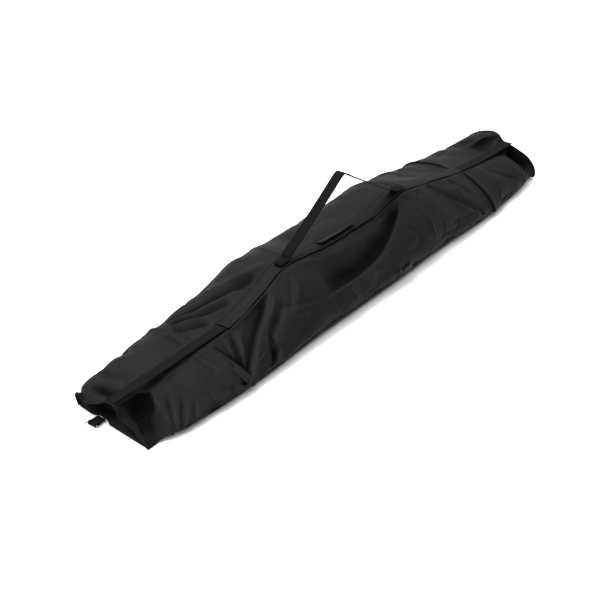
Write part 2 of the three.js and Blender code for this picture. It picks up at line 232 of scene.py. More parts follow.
def cloth_finish(name, tone):
    finish = Finish(name, Sheen_Weight=0.03, Sheen_Roughness=0.4, Specular_IOR_Level=0.2)
    at = finish.place("cloth")
    along, across, _ = finish.parts(at)
    turn = math.pi / THREAD
    weave = (along * turn).sin() * (across * turn).sin()
    patches = finish.noise(at, 0.16, detail=3.0)
    mottle = finish.noise(at, 0.006, detail=2.0)
    ridge = finish.node("ShaderNodeNewGeometry", output="Pointiness").clamp(0.5, 0.56)
    worn = ridge * 0.35 + patches * 0.25 + mottle * 0.15
    colour = finish.blend(worn, grey(tone * 0.82, -0.02), grey(tone * 1.7, -0.01))
    # Painted shade: the sheet's mask paints deep folds and the fallen ends darker than the cloth.
    hollow = finish.node("ShaderNodeAttribute", {"attribute_name": "hollow"}, output=2)
    colour = finish.blend(hollow, colour, grey(tone * 0.12))
    crinkle = finish.noise(at, 0.026, detail=4.0, rough=0.5)
    relief = finish.bump(weave, 0.06 * MM)
    relief = finish.bump(crinkle, 1.9 * MM, before=relief)
    rough = 0.5 + patches * 0.16 - ridge * 0.06 + hollow * 0.3
    finish.feed(Base_Color=colour, Roughness=rough, Normal=relief)
    return finish.material


cloth = cloth_finish("black_polyester", 0.0085)
# The flap's cloth is the same polyester painted darker: painted shade against the light its upward
# face catches.
shaded_flap_cloth = cloth_finish("flap_polyester_painted_shade", 0.0065)
# The ends' cloth is the same polyester painted darker still: painted shade for the deep shade at
# the ends.
shaded_end_cloth = cloth_finish("end_polyester_painted_shade", 0.006)
print("threads", THREAD / MM, "mm apart")

# %% [markdown]
# Webbing is woven much more thickly, in ribs that run along the strap, and it is a dull
# black. Tape for seams and the zip is a finer version of it.

# %% Webbing and tapes
def webbing_finish(name, tone, rib, depth):
    finish = Finish(name, Sheen_Weight=0.02, Sheen_Roughness=0.5, Specular_IOR_Level=0.14)
    at = finish.place("cloth")
    along, across, _ = finish.parts(at)
    ribs = (across * (math.tau / rib)).sin()
    pick = ((along + across * 0.6) * (math.tau / (rib * 0.55))).sin()
    fuzz = finish.noise(at, 0.004, detail=3.0)
    shade = fuzz * 0.5 + ribs * 0.25 + 0.25
    colour = finish.blend(shade, grey(tone * 0.75), grey(tone * 1.5))
    relief = finish.bump(ribs * 0.7 + pick * 0.3, depth)
    relief = finish.bump(fuzz, 0.25 * MM, before=relief)
    finish.feed(Base_Color=colour, Roughness=0.66 + fuzz * 0.2, Normal=relief)
    return finish.material


webbing = webbing_finish("black_webbing", 0.0075, 2.1 * MM, 0.30 * MM)
binding = webbing_finish("binding_tape", 0.011, 1.1 * MM, 0.12 * MM)
thread = webbing_finish("black_thread", 0.014, 0.4 * MM, 0.05 * MM)

# %% [markdown]
# The pieces of the design that stay as they are have no map of their own, so their finishes
# are placed in space. The zip runs along x, so the coil's teeth can simply be waves in x.
# The sliders are cast metal with black paint, worn back to the metal on their corners.

# %% Zip tape, coil and painted metal
def zip_tape_finish():
    finish = Finish("zip_tape", Specular_IOR_Level=0.3)
    at = finish.place()
    x, y, _ = finish.parts(at)
    twill = ((x + y) * (math.tau / (0.9 * MM))).sin()
    fuzz = finish.noise(at, 0.003)
    colour = finish.blend(fuzz, grey(0.010), grey(0.022))
    relief = finish.bump(twill, 0.1 * MM)
    finish.feed(Base_Color=colour, Roughness=0.75 + fuzz * 0.15, Normal=relief)
    return finish.material


def zip_coil_finish():
    finish = Finish("zip_coil", Specular_IOR_Level=0.5)
    at = finish.place()
    x, _, _ = finish.parts(at)
    tooth = (x * (math.tau / (1.5 * MM))).sin()
    fuzz = finish.noise(at, 0.002)
    colour = finish.blend(tooth * 0.5 + 0.5, grey(0.006), grey(0.028))
    relief = finish.bump(tooth, 0.5 * MM)
    finish.feed(Base_Color=colour, Roughness=0.35 + fuzz * 0.2, Normal=relief)
    return finish.material


def painted_metal_finish(name, tone):
    finish = Finish(name, Metallic=0.35, Coat_Roughness=0.2, Specular_IOR_Level=0.5)
    at = finish.place()
    speck = finish.noise(at, 0.0015, detail=4.0)
    wear = finish.node("ShaderNodeNewGeometry", output="Pointiness").clamp(0.52, 0.6)
    colour = finish.blend(wear * speck, grey(tone), grey(tone * 5))
    finish.feed(
        Base_Color=colour,
        Roughness=0.32 + speck * 0.2 + wear * 0.1,
        Coat_Weight=0.4 - wear * 0.3,
        Normal=finish.bump(speck, 0.03 * MM),
    )
    return finish.material


zip_tape = zip_tape_finish()
zip_coil = zip_coil_finish()
painted_metal = painted_metal_finish("black_painted_zinc", 0.02)

# %% [markdown]
# Only the buckle is bright: it is plated with nickel, a little stained, with fine lines from
# the drawing of the wire. The label is woven in satin, so it shines more than the cloth.

# %% Nickel and the blank label
def nickel_finish():
    finish = Finish("nickel", Metallic=1.0)
    at = finish.place()
    fine = finish.noise(at, 0.0012, detail=3.0, stretch=(1, 6, 1))
    stain = finish.noise(at, 0.009, detail=3.0)
    colour = finish.blend(stain, (0.62, 0.61, 0.59, 1), (0.80, 0.80, 0.79, 1))
    finish.feed(
        Base_Color=colour,
        Roughness=0.16 + stain * 0.14 + fine * 0.08,
        Normal=finish.bump(fine, 0.02 * MM),
    )
    return finish.material


def label_finish():
    finish = Finish("woven_label", Sheen_Weight=0.03, Sheen_Roughness=0.35, Specular_IOR_Level=0.25)
    at = finish.place("cloth")
    along, across, _ = finish.parts(at)
    satin = (across * (math.tau / (0.5 * MM))).sin()
    slub = finish.noise(at, 0.004, stretch=(0.2, 3, 1))
    colour = finish.blend(slub, grey(0.008), grey(0.016))
    relief = finish.bump(satin, 0.04 * MM)
    finish.feed(Base_Color=colour, Roughness=0.42 + slub * 0.2, Normal=relief)
    return finish.material


nickel = nickel_finish()
label_satin = label_finish()
print("finishes:", len(bpy.data.materials))

# %% [markdown]
# ## The floor and the light
# The bag lies on a plain pale floor. It stretches far enough that its edge is never seen.

# %% Make the floor
def floor_finish():
    finish = Finish("pale_floor", Roughness=0.9, Specular_IOR_Level=0.1)
    at = finish.place()
    shade = finish.noise(at, 0.6, detail=2.0)
    finish.feed(Base_Color=finish.blend(shade, grey(0.90), grey(0.92)))
    return finish.material


FLOOR_HALF = 60.0
floor_mesh = bpy.data.meshes.new("floor")
corners = [(-1, -1, 0), (1, -1, 0), (1, 1, 0), (-1, 1, 0)]
floor_points = [[FLOOR_HALF * c for c in corner] for corner in corners]
floor_mesh.from_pydata(floor_points, [], [(0, 1, 2, 3)])
floor = bpy.data.objects.new("floor", floor_mesh)
floor_mesh.materials.append(floor_finish())
bpy.context.scene.collection.objects.link(floor)

# %% [markdown]
# One broad soft light hangs above the bag and behind it. The room is bright overhead and dim
# low down, so cloth that faces up is pale, and steep walls and hollows go dark. A small hard
# lamp would draw sharp shadows instead. A black bag needs a lot of light to show its shape,
# so the exposure is high.

# %% Hang the light
def wide_light(name, towards, spread, strength):
    data = bpy.data.lights.new(name, "SUN")
    data.angle = math.radians(spread)
    data.energy = strength
    light = bpy.data.objects.new(name, data)
    light.rotation_mode = "QUATERNION"
    light.rotation_quaternion = Vector(towards).to_track_quat("-Z", "Y")
    bpy.context.scene.collection.objects.link(light)


def room(low, high):
    """A surrounding that is low at the horizon and high overhead."""
    world = bpy.data.worlds.new("pale_room")
    world.use_nodes = True
    tree = world.node_tree
    way = tree.nodes.new("ShaderNodeTexCoord").outputs["Generated"]
    split = tree.nodes.new("ShaderNodeSeparateXYZ")
    tree.links.new(way, split.inputs[0])
    rise = tree.nodes.new("ShaderNodeMapRange")
    for socket, value in (("From Min", 0.1), ("From Max", 0.9), ("To Min", low), ("To Max", high)):
        rise.inputs[socket].default_value = value
    tree.links.new(split.outputs["Z"], rise.inputs["Value"])
    tree.links.new(rise.outputs[0], tree.nodes["Background"].inputs["Strength"])
    tree.nodes["Background"].inputs["Color"].default_value = (1.0, 1.0, 1.0, 1)
    bpy.context.scene.world = world


wide_light("top_light", (0.12, -0.5, -0.85), 50, 1.35)
room(0.2, 1.05)
view = bpy.context.scene.view_settings
view.view_transform = "Standard"
view.exposure = 0.84
view.gamma = 0.8
print("exposure", round(view.exposure, 2), "gamma", round(view.gamma, 2))

# %% [markdown]
# ## Cloth as a mesh
# A piece of cloth is a grid of points bent into place. To be a real piece it has a second
# grid just inside the first and a narrow edge that joins them. A Solidify modifier could
# make that too, but here the edge is flat shaded and the rest smooth. Each point also keeps
# where it lies on the flat cloth, in metres, which is what the weave follows.

# %% Normals and a closed sheet
def normals_of(grid):
    """The direction out of the cloth at each point of a grid."""
    down = np.gradient(grid, axis=0)
    across = np.gradient(grid, axis=1)
    out = np.cross(down, across)
    return out / np.maximum(np.linalg.norm(out, axis=2, keepdims=True), 1e-12)


def flat_places(grid):
    """Where each point lies on the flat cloth: the run along each line of the grid."""
    rows = np.linalg.norm(np.diff(grid, axis=0), axis=2)
    columns = np.linalg.norm(np.diff(grid, axis=1), axis=2)
    along = np.concatenate([[0], np.cumsum(rows.mean(1))])
    across = np.concatenate([[0], np.cumsum(columns.mean(0))])
    return np.stack(np.meshgrid(along, across, indexing="ij"), -1)


def mesh_of(name, points, faces, places, finish, flat_from=None):
    """A mesh object from points, faces and the flat place of each point."""
    mesh = bpy.data.meshes.new(name)
    mesh.from_pydata(points.tolist(), [], faces)
    smooth = np.ones(len(faces), bool)
    if flat_from is not None:
        smooth[flat_from:] = False
    mesh.polygons.foreach_set("use_smooth", smooth)
    corners = np.empty(len(mesh.loops), np.int32)
    mesh.loops.foreach_get("vertex_index", corners)
    layer = mesh.uv_layers.new(name="cloth")
    layer.data.foreach_set("uv", places[corners].astype(np.float32).ravel())
    mesh.materials.append(finish)
    mesh.update()
    thing = bpy.data.objects.new(name, mesh)
    bpy.context.scene.collection.objects.link(thing)
    return thing


def grid_faces(index):
    """The four-sided faces of a grid of point numbers."""
    a, b, c, d = index[:-1, :-1], index[1:, :-1], index[1:, 1:], index[:-1, 1:]
    return np.stack([a, b, c, d], -1).reshape(-1, 4).tolist()


def sheet(name, grid, thickness, finish, hollow=None):
    """A closed sheet of cloth whose outer face is the grid."""
    rows, columns = grid.shape[:2]
    count = rows * columns
    inner = grid - normals_of(grid) * thickness
    top = np.arange(count).reshape(rows, columns)
    under = top + count
    faces = grid_faces(top) + grid_faces(under[::-1])
    rim_start = len(faces)
    rim = np.concatenate([top[:, 0], top[-1, 1:], top[-2::-1, -1], top[0, -2::-1]])
    for a, b in zip(rim[:-1], rim[1:]):
        faces.append((int(b), int(a), int(a + count), int(b + count)))
    points = np.concatenate([grid.reshape(-1, 3), inner.reshape(-1, 3)])
    places = flat_places(grid).reshape(-1, 2)
    piece = mesh_of(name, points, faces, np.concatenate([places, places]), finish, rim_start)
    # The mask of painted shade, kept on every point for the cloth finish.
    if hollow is not None:
        mark = piece.data.attributes.new("hollow", "FLOAT", "POINT")
        mark.data.foreach_set("value", np.tile(hollow.ravel(), 2).astype(np.float32))
    return piece


# %% [markdown]
# Cord, wire and webbing are all made the same way: one cross-section, carried along a line.
# A curve object with a bevel could do it too, but a strap must not twist on its way, so its
# flat side is always turned by a direction that lies across it.

# %% Tubes and ribbons
def frames_along(path, across=(0, 1, 0), closed=False):
    """For each point of a path: the direction out of the ribbon, and the one across it."""
    run = np.roll(path, -1, 0) - np.roll(path, 1, 0) if closed else np.gradient(path, axis=0)
    run /= np.linalg.norm(run, axis=1, keepdims=True)
    out = np.cross(run, np.broadcast_to(np.asarray(across, float), path.shape))
    out /= np.linalg.norm(out, axis=1, keepdims=True)
    return out, np.cross(out, run)


def lengths_along(path):
    """How far round a line each of its points lies."""
    return np.concatenate([[0], np.cumsum(np.linalg.norm(np.diff(path, axis=0), axis=1))])


def swept(name, path, section, finish, across=(0, 1, 0), closed=False):
    """A section, given as (across, out) pairs, carried along a path, with its ends closed."""
    path = np.asarray(path, float)
    section = np.asarray(section, float)
    out, side = frames_along(path, across, closed)
    rings = path[:, None] + side[:, None] * section[None, :, :1]
    rings = rings + out[:, None] * section[None, :, 1:]
    rows, columns = rings.shape[:2]
    index = np.arange(rows * columns).reshape(rows, columns)
    index = np.concatenate([index, index[:, :1]], 1)
    if closed:
        index = np.concatenate([index, index[:1]], 0)
    faces = grid_faces(index)
    if not closed:
        faces += [tuple(map(int, index[0, :-1])), tuple(map(int, index[-1, -2::-1]))]
    places = np.stack(np.meshgrid(lengths_along(path), lengths_along(section), indexing="ij"), -1)
    places = places.reshape(-1, 2)
    return mesh_of(name, rings.reshape(-1, 3), faces, places, finish)


def round_section(radius, sides=12):
    turn = np.linspace(0, math.tau, sides, endpoint=False)
    return np.stack([radius * np.cos(turn), radius * np.sin(turn)], 1)


def strap_section(width, thickness, ribs=0, relief=0.0, columns=15):
    """A woven strap cut across: flat, with rounded edges and, where wanted, raised ribs."""
    half = width / 2 - thickness / 2
    y = np.linspace(-half, half, columns)
    wave = relief * np.cos(y / width * math.tau * ribs) if ribs else 0 * y
    edge = np.linspace(0, math.pi, 6)[1:-1]
    right = np.stack([half + thickness / 2 * np.sin(edge), thickness / 2 * np.cos(edge)], 1)
    top = np.stack([y, thickness / 2 + wave], 1)
    bottom = np.stack([y[::-1], -thickness / 2 - wave[::-1]], 1)
    return np.concatenate([top, right, bottom, -right])


def smooth_path(points, steps):
    """A smooth curve through a few points, with evenly spaced steps."""
    points = np.asarray(points, float)
    ends = [2 * points[0] - points[1], 2 * points[-1] - points[-2]]
    padded = np.concatenate([ends[:1], points, ends[1:]])
    found = []
    steps_between = 24
    u = np.linspace(0, 1, steps_between, endpoint=False)[:, None]
    for a, b, c, d in zip(padded[:-3], padded[1:-2], padded[2:-1], padded[3:]):
        square = (2 * a - 5 * b + 4 * c - d) * u**2
        cube = (3 * b - a - 3 * c + d) * u**3
        found.append(0.5 * (2 * b + (c - a) * u + square + cube))
    found = np.concatenate([*found, points[-1:]])
    run = lengths_along(found)
    wanted = np.linspace(0, run[-1], steps)
    return np.stack([np.interp(wanted, run, found[:, k]) for k in range(found.shape[1])], 1)


# %% [markdown]
# ## The shape of the bag
# A stuffed bag has no straight lines, so its shape is lofted through cross-sections, as a
# boat's hull is through its frames. Each row gives where the section stands along the bag,
# how high the top is, how far out each side reaches and at what height, and how full each
# shoulder is. These are the design's own sections, in millimetres. To carve the same shape
# by hand would lose the exact places where straps and zip have to lie.

# %% The sections
SECTIONS = np.array([
    # x, top, right, left, height of widest point right and left, fullness right and left
    [-900, 58, 138, 114, 20, 24, 1.3, 1.5],
    [-860, 46, 150, 138, 20, 28, 1.4, 1.7],
    [-800, 50, 160, 152, 22, 30, 1.4, 1.9],
    [-700, 62, 167, 164, 22, 32, 1.4, 2.0],
    [-594, 70, 169, 172, 24, 36, 1.4, 2.1],
    [-500, 76, 168, 178, 30, 42, 1.5, 2.2],
    [-380, 110, 163, 184, 38, 50, 1.5, 2.2],
    [-266, 152, 160, 187, 45, 55, 1.5, 2.2],
    [-95, 138, 158, 190, 45, 57, 1.6, 2.5],
    [95, 138, 155, 194, 45, 58, 1.6, 2.6],
    [266, 163, 148, 200, 45, 58, 1.5, 2.3],
    [380, 146, 146, 202, 40, 54, 1.5, 2.3],
    [500, 124, 146, 200, 32, 50, 1.4, 2.3],
    [594, 110, 140, 194, 26, 48, 1.4, 2.4],
    [700, 98, 131, 186, 25, 46, 1.5, 2.5],
    [800, 90, 119, 178, 27, 48, 1.6, 2.7],
    [860, 80, 110, 173, 29, 50, 1.7, 2.9],
    [900, 94, 105, 168, 30, 52, 1.7, 3.0],
])
TOP, RIGHT, LEFT, RIGHT_LOW, LEFT_LOW, RIGHT_FULL, LEFT_FULL = range(1, 8)
SECTIONS[:, :RIGHT_FULL] *= MM
STRIP_RIGHT, STRIP_LEFT = -0.026, 0.022  # the flat strip along the top
FOOT = 0.028  # how far the bag curls in under its widest point
SEAM_TURN = 0.41  # how far round that curl the base seam sits
SEAM_X = 0.594  # the seams where the tail and tip sections join the middle
BAG_END = 0.9


def column(x, k):
    """One column of the table at any x, on a smooth curve that never overshoots."""
    at, value = SECTIONS[:, 0], SECTIONS[:, k]
    step = np.diff(at)
    rise = np.diff(value) / step
    slope = np.zeros(len(at))
    same = rise[:-1] * rise[1:] > 0
    total = np.where(same, rise[:-1] + rise[1:], 1)
    slope[1:-1] = np.where(same, 2 * rise[:-1] * rise[1:] / total, 0)
    i = np.clip(np.searchsorted(at, x, side="left"), 1, len(at) - 1)
    u = np.clip((x - at[i - 1]) / step[i - 1], 0, 1)
    bend = slope[i - 1] * step[i - 1] * u * (1 - u) ** 2 - slope[i] * step[i - 1] * u**2 * (1 - u)
    return value[i - 1] + (value[i] - value[i - 1]) * u * u * (3 - 2 * u) + bend


def crest(x):
    """The height of the top of the bag."""
    return column(np.asarray(x, float), TOP)


# %% [markdown]
# A point on the cloth is named by x and by g, the distance round from the middle of the top
# strip: less than zero towards the near (right) side, more than zero towards the far one.
# `STRIP_HALF` of cloth lies flat on top, and `SIDE` more reaches down to the base seam.

# %% A point on the smooth bag
STRIP_HALF = 0.024
SIDE = 0.2
SEAM_G = STRIP_HALF + SIDE


def smooth(a, b, x):
    """0 at a, 1 at b, and an even rise between."""
    u = np.clip((x - a) / (b - a), 0, 1)
    return u * u * (3 - 2 * u)


def side_point(x, side, share):
    """A point on one side of the bag, share 0 at the strip and 1 at the base seam."""
    turn = share * (math.pi / 2 + SEAM_TURN)
    wide = column(x, RIGHT if side < 0 else LEFT)
    low = column(x, RIGHT_LOW if side < 0 else LEFT_LOW)
    power = 2 / column(x, RIGHT_FULL if side < 0 else LEFT_FULL)
    edge = -STRIP_RIGHT if side < 0 else STRIP_LEFT
    shoulder = np.minimum(turn, math.pi / 2)
    under = np.maximum(turn - math.pi / 2, 0)
    y = edge + (wide - edge) * np.sin(shoulder) ** power - FOOT * (1 - np.cos(under))
    rise = np.maximum(0, np.cos(shoulder)) ** power
    z = low + (crest(x) - low) * rise - low * np.sin(under)
    return np.stack([x, side * y, z], -1)


def smooth_bag(x, g):
    x, g = np.broadcast_arrays(np.asarray(x, float), np.asarray(g, float))
    share = np.maximum(0, (np.abs(g) - STRIP_HALF) / SIDE)
    right, left = side_point(x, -1, share), side_point(x, 1, share)
    y = STRIP_RIGHT + (STRIP_LEFT - STRIP_RIGHT) * (g + STRIP_HALF) / (2 * STRIP_HALF)
    top = np.stack([x, y, crest(x)], -1)
    point = np.where((g < -STRIP_HALF)[..., None], right, top)
    return np.where((g > STRIP_HALF)[..., None], left, point)


# %% [markdown]
# ## The slack ends
# The skis don't fill the bag's ends. At the tail the cloth has fallen in on both sides of
# the strap, which holds the middle of the rim up like a ridge pole. At the tip the rim
# stands on its corded edge, with a trough behind it. Each end has a rim line, given as
# points round it, and the cloth is drawn from its smooth shape to that line where the
# stuffing stops.

# %% The rim lines
TAIL_RIM = np.array([
    # g, then x, y and z
    [-0.224, -0.924, -0.136, 0.004],
    [-0.190, -0.920, -0.116, 0.011],
    [-0.150, -0.912, -0.082, 0.022],
    [-0.110, -0.910, -0.060, 0.029],
    [-0.080, -0.910, -0.040, 0.035],
    [-0.056, -0.910, -0.029, 0.046],
    [-0.036, -0.909, -0.023, 0.057],
    [-0.013, -0.908, -0.013, 0.064],
    [0.013, -0.908, 0.013, 0.063],
    [0.050, -0.907, 0.034, 0.050],
    [0.090, -0.905, 0.068, 0.035],
    [0.130, -0.900, 0.094, 0.028],
    [0.165, -0.897, 0.112, 0.040],
    [0.195, -0.895, 0.124, 0.030],
    [0.224, -0.894, 0.116, 0.004],
])
TIP_RIM = np.array([
    [-0.224, 0.900, -0.096, 0.004],
    [-0.200, 0.900, -0.103, 0.014],
    [-0.170, 0.900, -0.101, 0.032],
    [-0.140, 0.900, -0.092, 0.049],
    [-0.110, 0.900, -0.073, 0.067],
    [-0.080, 0.900, -0.046, 0.079],
    [-0.045, 0.900, -0.020, 0.088],
    [-0.013, 0.900, 0.002, 0.094],
    [0.013, 0.900, 0.020, 0.100],
    [0.035, 0.900, 0.036, 0.116],
    [0.060, 0.900, 0.056, 0.121],
    [0.090, 0.900, 0.084, 0.116],
    [0.125, 0.900, 0.113, 0.105],
    [0.155, 0.900, 0.142, 0.084],
    [0.180, 0.900, 0.157, 0.056],
    [0.205, 0.900, 0.159, 0.030],
    [0.224, 0.900, 0.152, 0.006],
])


def curve_through(rows, at):
    """A smooth line through rows of (g, ...), read at any g."""
    line = smooth_path(rows, 400)
    at = np.asarray(at, float)
    return np.stack([np.interp(at, line[:, 0], line[:, k]) for k in range(1, rows.shape[1])], -1)


def slack_end(points, x, g):
    """Draws the cloth in to its rim where the stuffing stops, and says how far it has fallen."""
    near_g, near_stop = [-0.25, -0.19, -0.14, -0.10, -0.03], [-0.89, -0.874, -0.852, -0.836, -0.812]
    far_g, far_stop = [0.03, 0.06, 0.10, 0.15, 0.25], [-0.85, -0.845, -0.865, -0.885, -0.89]
    stop = np.interp(g, near_g + far_g, near_stop + far_stop)
    softness = np.interp(g, [-0.22, -0.1, -0.03, 0.03, 0.2], [0.015, 0.009, 0.022, 0.03, 0.02])
    share = smooth(0, 1, (stop + softness - x) / (2 * softness))
    rim = curve_through(TAIL_RIM, g)
    plateau = rim.copy()
    plateau[..., 0] = x + (rim[..., 0] + BAG_END) * smooth(-0.84, -0.9, x)
    points = points + (plateau - points) * share[..., None]
    fallen = share
    begins = np.interp(g, [-0.03, 0.03, 0.06, 0.16], [0.845, 0.83, 0.80, 0.825])
    share = smooth(begins, begins + np.interp(g, [0.0, 0.04, 0.08], [0.036, 0.07, 0.034]), x)
    rim = curve_through(TIP_RIM, g)
    plateau = rim.copy()
    plateau[..., 0] = x
    return points + (plateau - points) * share[..., None], fallen * smooth(-0.015, -0.03, g)


# %% [markdown]
# ## Folds
# Cloth that is pulled folds along lines that fan out from where it is held: from the two
# places where the handle is sewn on, and from the corners of the seams. Each fold here is a
# line laid on the cloth, with a depth (less than zero is a valley), a width, and how much
# of its length fades in and out at each end. A lap of 1 or -1 is a fold that has fallen
# over: its cloth is high on one side of the line and tucked in on the other. A lap of 2 or
# -2 is a step: on one side of the line the cloth drops, and comes back up further off.
# A cloth simulation would find folds by itself, but not these ones in these places.

# %% How one fold lifts the cloth
def distance_to_line(x, g, line):
    """Distance from each point to a line, with its sign, and how far along the line it is."""
    best = np.full(x.shape, 1e9)
    signed = np.zeros(x.shape)
    along = np.zeros(x.shape)
    lengths = np.linalg.norm(np.diff(line, axis=0), axis=1)
    total, before = lengths.sum(), 0.0
    for start, end, length in zip(line[:-1], line[1:], lengths):
        run = (end - start) / length
        dx, dg = x - start[0], g - start[1]
        reach = np.clip(dx * run[0] + dg * run[1], 0, length)
        off_x, off_g = dx - reach * run[0], dg - reach * run[1]
        distance = np.hypot(off_x, off_g)
        nearer = distance < best
        best = np.where(nearer, distance, best)
        signed = np.where(nearer, run[0] * off_g - run[1] * off_x, signed)
        along = np.where(nearer, (before + reach) / total, along)
        before += length
    return best, signed, along


CRISP = 0.22  # how rounded the bottom of a fold is, as a share of its width
STEP_EDGE = 4 * MM  # half the width over which a step drops
LAP_EDGE = 1.5 * MM  # the same for a fold that has fallen over
TUCKED = 0.7  # how deep the cloth is tucked under such a fold, as a share of its height


def fold_height(x, g, fold):
    """How far one fold lifts the cloth, or sinks it, at each point."""
    depth, width, points, fade, lap = fold
    line = np.asarray(points, float)
    line = smooth_path(points, 4 * len(points) - 4) if len(points) > 2 else line
    distance, signed, along = distance_to_line(x, g, line)
    ends = smooth(0, max(fade[0], 1e-6), along) * smooth(0, max(fade[1], 1e-6), 1 - along)
    if not lap:
        q = np.sqrt((distance / width) ** 2 + CRISP**2) - CRISP
        return depth * ends * np.exp(-1.1 * q**1.15)
    if abs(lap) == 2:
        low = smooth(-STEP_EDGE, STEP_EDGE, signed * lap)
        return depth * ends * low * np.exp(-((distance / width) ** 1.6))
    q = distance / width
    high = smooth(-LAP_EDGE, LAP_EDGE, signed * lap)
    tucked = TUCKED * np.exp(-((q / 0.55) ** 2)) * (1 - high)
    return depth * ends * (high * np.exp(-q * q) - tucked)


def fold(depth, width, *points, fade=(0.25, 0.25), lap=0):
    """Depth and width in millimetres, points as (x, g) in metres."""
    return depth * MM, width * MM, points, fade, lap


# %% [markdown]
# The long folds of the near side run from the tail seam's lower corner up to the near
# handle anchor. Between the anchors the side has sunk into one broad hollow under a ridge
# that hangs from the zip.

# %% Folds of the near side
NEAR_FOLDS = [
    fold(-7, 7, (-0.612, -0.172), (-0.56, -0.122), (-0.478, -0.078), (-0.424, -0.058),
         (-0.346, -0.026), fade=(0.02, 0.2)),
    fold(-13, 26, (-0.612, -0.172), (-0.56, -0.122), (-0.478, -0.078), (-0.424, -0.058),
         (-0.346, -0.026), fade=(0.02, 0.25), lap=2),
    fold(5, 11, (-0.57, -0.15), (-0.51, -0.106), (-0.43, -0.072), (-0.36, -0.045)),
    fold(-12, 6, (-0.608, -0.160), (-0.574, -0.112), (-0.545, -0.075), (-0.505, -0.032),
         fade=(0.02, 0.2)),
    fold(5, 7, (-0.600, -0.150), (-0.560, -0.110), (-0.525, -0.078), (-0.480, -0.038),
         fade=(0.1, 0.2)),
    fold(-6, 14, (-0.600, -0.138), (-0.583, -0.104), (-0.562, -0.072), (-0.54, -0.036),
         fade=(0.1, 0.2), lap=2),
    fold(-5, 6, (-0.36, -0.024), (-0.394, -0.034), (-0.41, -0.045)),
    fold(-10, 7, (-0.50, -0.160), (-0.478, -0.130), (-0.44, -0.10), (-0.37, -0.080),
         (-0.33, -0.058),
         fade=(0.05, 0.4)),
    fold(-18, 9, (-0.51, -0.176), (-0.484, -0.148), (-0.456, -0.114), fade=(0.05, 0.4)),
    fold(5, 5, (-0.488, -0.118), (-0.44, -0.086), (-0.39, -0.070), (-0.345, -0.044),
         fade=(0.2, 0.3)),
    fold(4, 6, (-0.545, -0.13), (-0.50, -0.12), lap=-1),
    fold(-19, 8, (-0.580, -0.036), (-0.577, -0.075), (-0.578, -0.11), (-0.590, -0.155),
         fade=(0.25, 0.15)),
    fold(6, 9, (-0.29, -0.028), (-0.283, -0.05), (-0.30, -0.078), (-0.335, -0.10), fade=(0.1, 0.4)),
    fold(-4, 7, (-0.305, -0.048), (-0.32, -0.072), (-0.345, -0.088), (-0.37, -0.094)),
    fold(-2, 4, (-0.345, -0.098), (-0.30, -0.112), (-0.26, -0.125)),
    fold(-2, 4, (-0.36, -0.108), (-0.31, -0.124)),
    fold(-2, 4, (-0.39, -0.068), (-0.35, -0.088)),
    fold(-3, 5, (-0.468, -0.124), (-0.492, -0.166)),
    fold(-3, 5, (-0.444, -0.126), (-0.458, -0.20)),
    fold(7, 14, (-0.262, -0.034), (-0.20, -0.046), (-0.136, -0.050), (-0.05, -0.056),
         (0.05, -0.056),
         (0.14, -0.042), (0.215, -0.034), fade=(0.1, 0.1)),
    fold(-21, 52, (-0.27, -0.126), (-0.164, -0.124), (-0.108, -0.122), (-0.042, -0.118),
         (0.034, -0.108), (0.098, -0.090), (0.184, -0.062), (0.224, -0.040),
         fade=(0.22, 0.1), lap=2),
    fold(-5, 12, (-0.22, -0.100), (-0.108, -0.106), (-0.042, -0.104), (0.034, -0.096),
         (0.098, -0.080),
         (0.184, -0.056), fade=(0.3, 0.2)),
    fold(5, 10, (-0.24, -0.132), (-0.14, -0.134), (-0.05, -0.130), (0.034, -0.120), (0.11, -0.102)),
    fold(6, 9, (-0.21, -0.120), (-0.104, -0.130), (-0.008, -0.140), (0.03, -0.132)),
    fold(-3, 4, (-0.13, -0.132), (-0.06, -0.140)),
    fold(-4, 5, (-0.10, -0.182), (-0.05, -0.178)),
    fold(-5, 7, (0.075, -0.134), (0.14, -0.146), (0.21, -0.138)),
    fold(-3, 4, (0.244, -0.032), (0.258, -0.05), (0.268, -0.06)),
    fold(-3, 8, (0.32, -0.04), (0.29, -0.065), (0.26, -0.085)),
    fold(-9, 10, (0.365, -0.022), (0.40, -0.062), (0.45, -0.105), (0.535, -0.160), fade=(0.1, 0.1)),
    fold(5, 6, (0.36, -0.034), (0.39, -0.07), (0.44, -0.118), (0.52, -0.166), fade=(0.1, 0.1)),
    fold(-4, 7, (0.47, -0.032), (0.50, -0.07), (0.53, -0.11)),
    fold(-6, 7, (0.34, -0.145), (0.42, -0.148), (0.50, -0.145), fade=(0.3, 0.1)),
    fold(-7, 5, (0.51, -0.155), (0.53, -0.18)),
    fold(-3, 7, (0.24, -0.17), (0.34, -0.165), (0.46, -0.172)),
]

# %% [markdown]
# The far side is stuffed tight and only folds where it is pulled to the near handle foot. At
# the tail the cloth has fallen in on both sides of the strap, and at the tip a deep trough
# lies behind the rim.

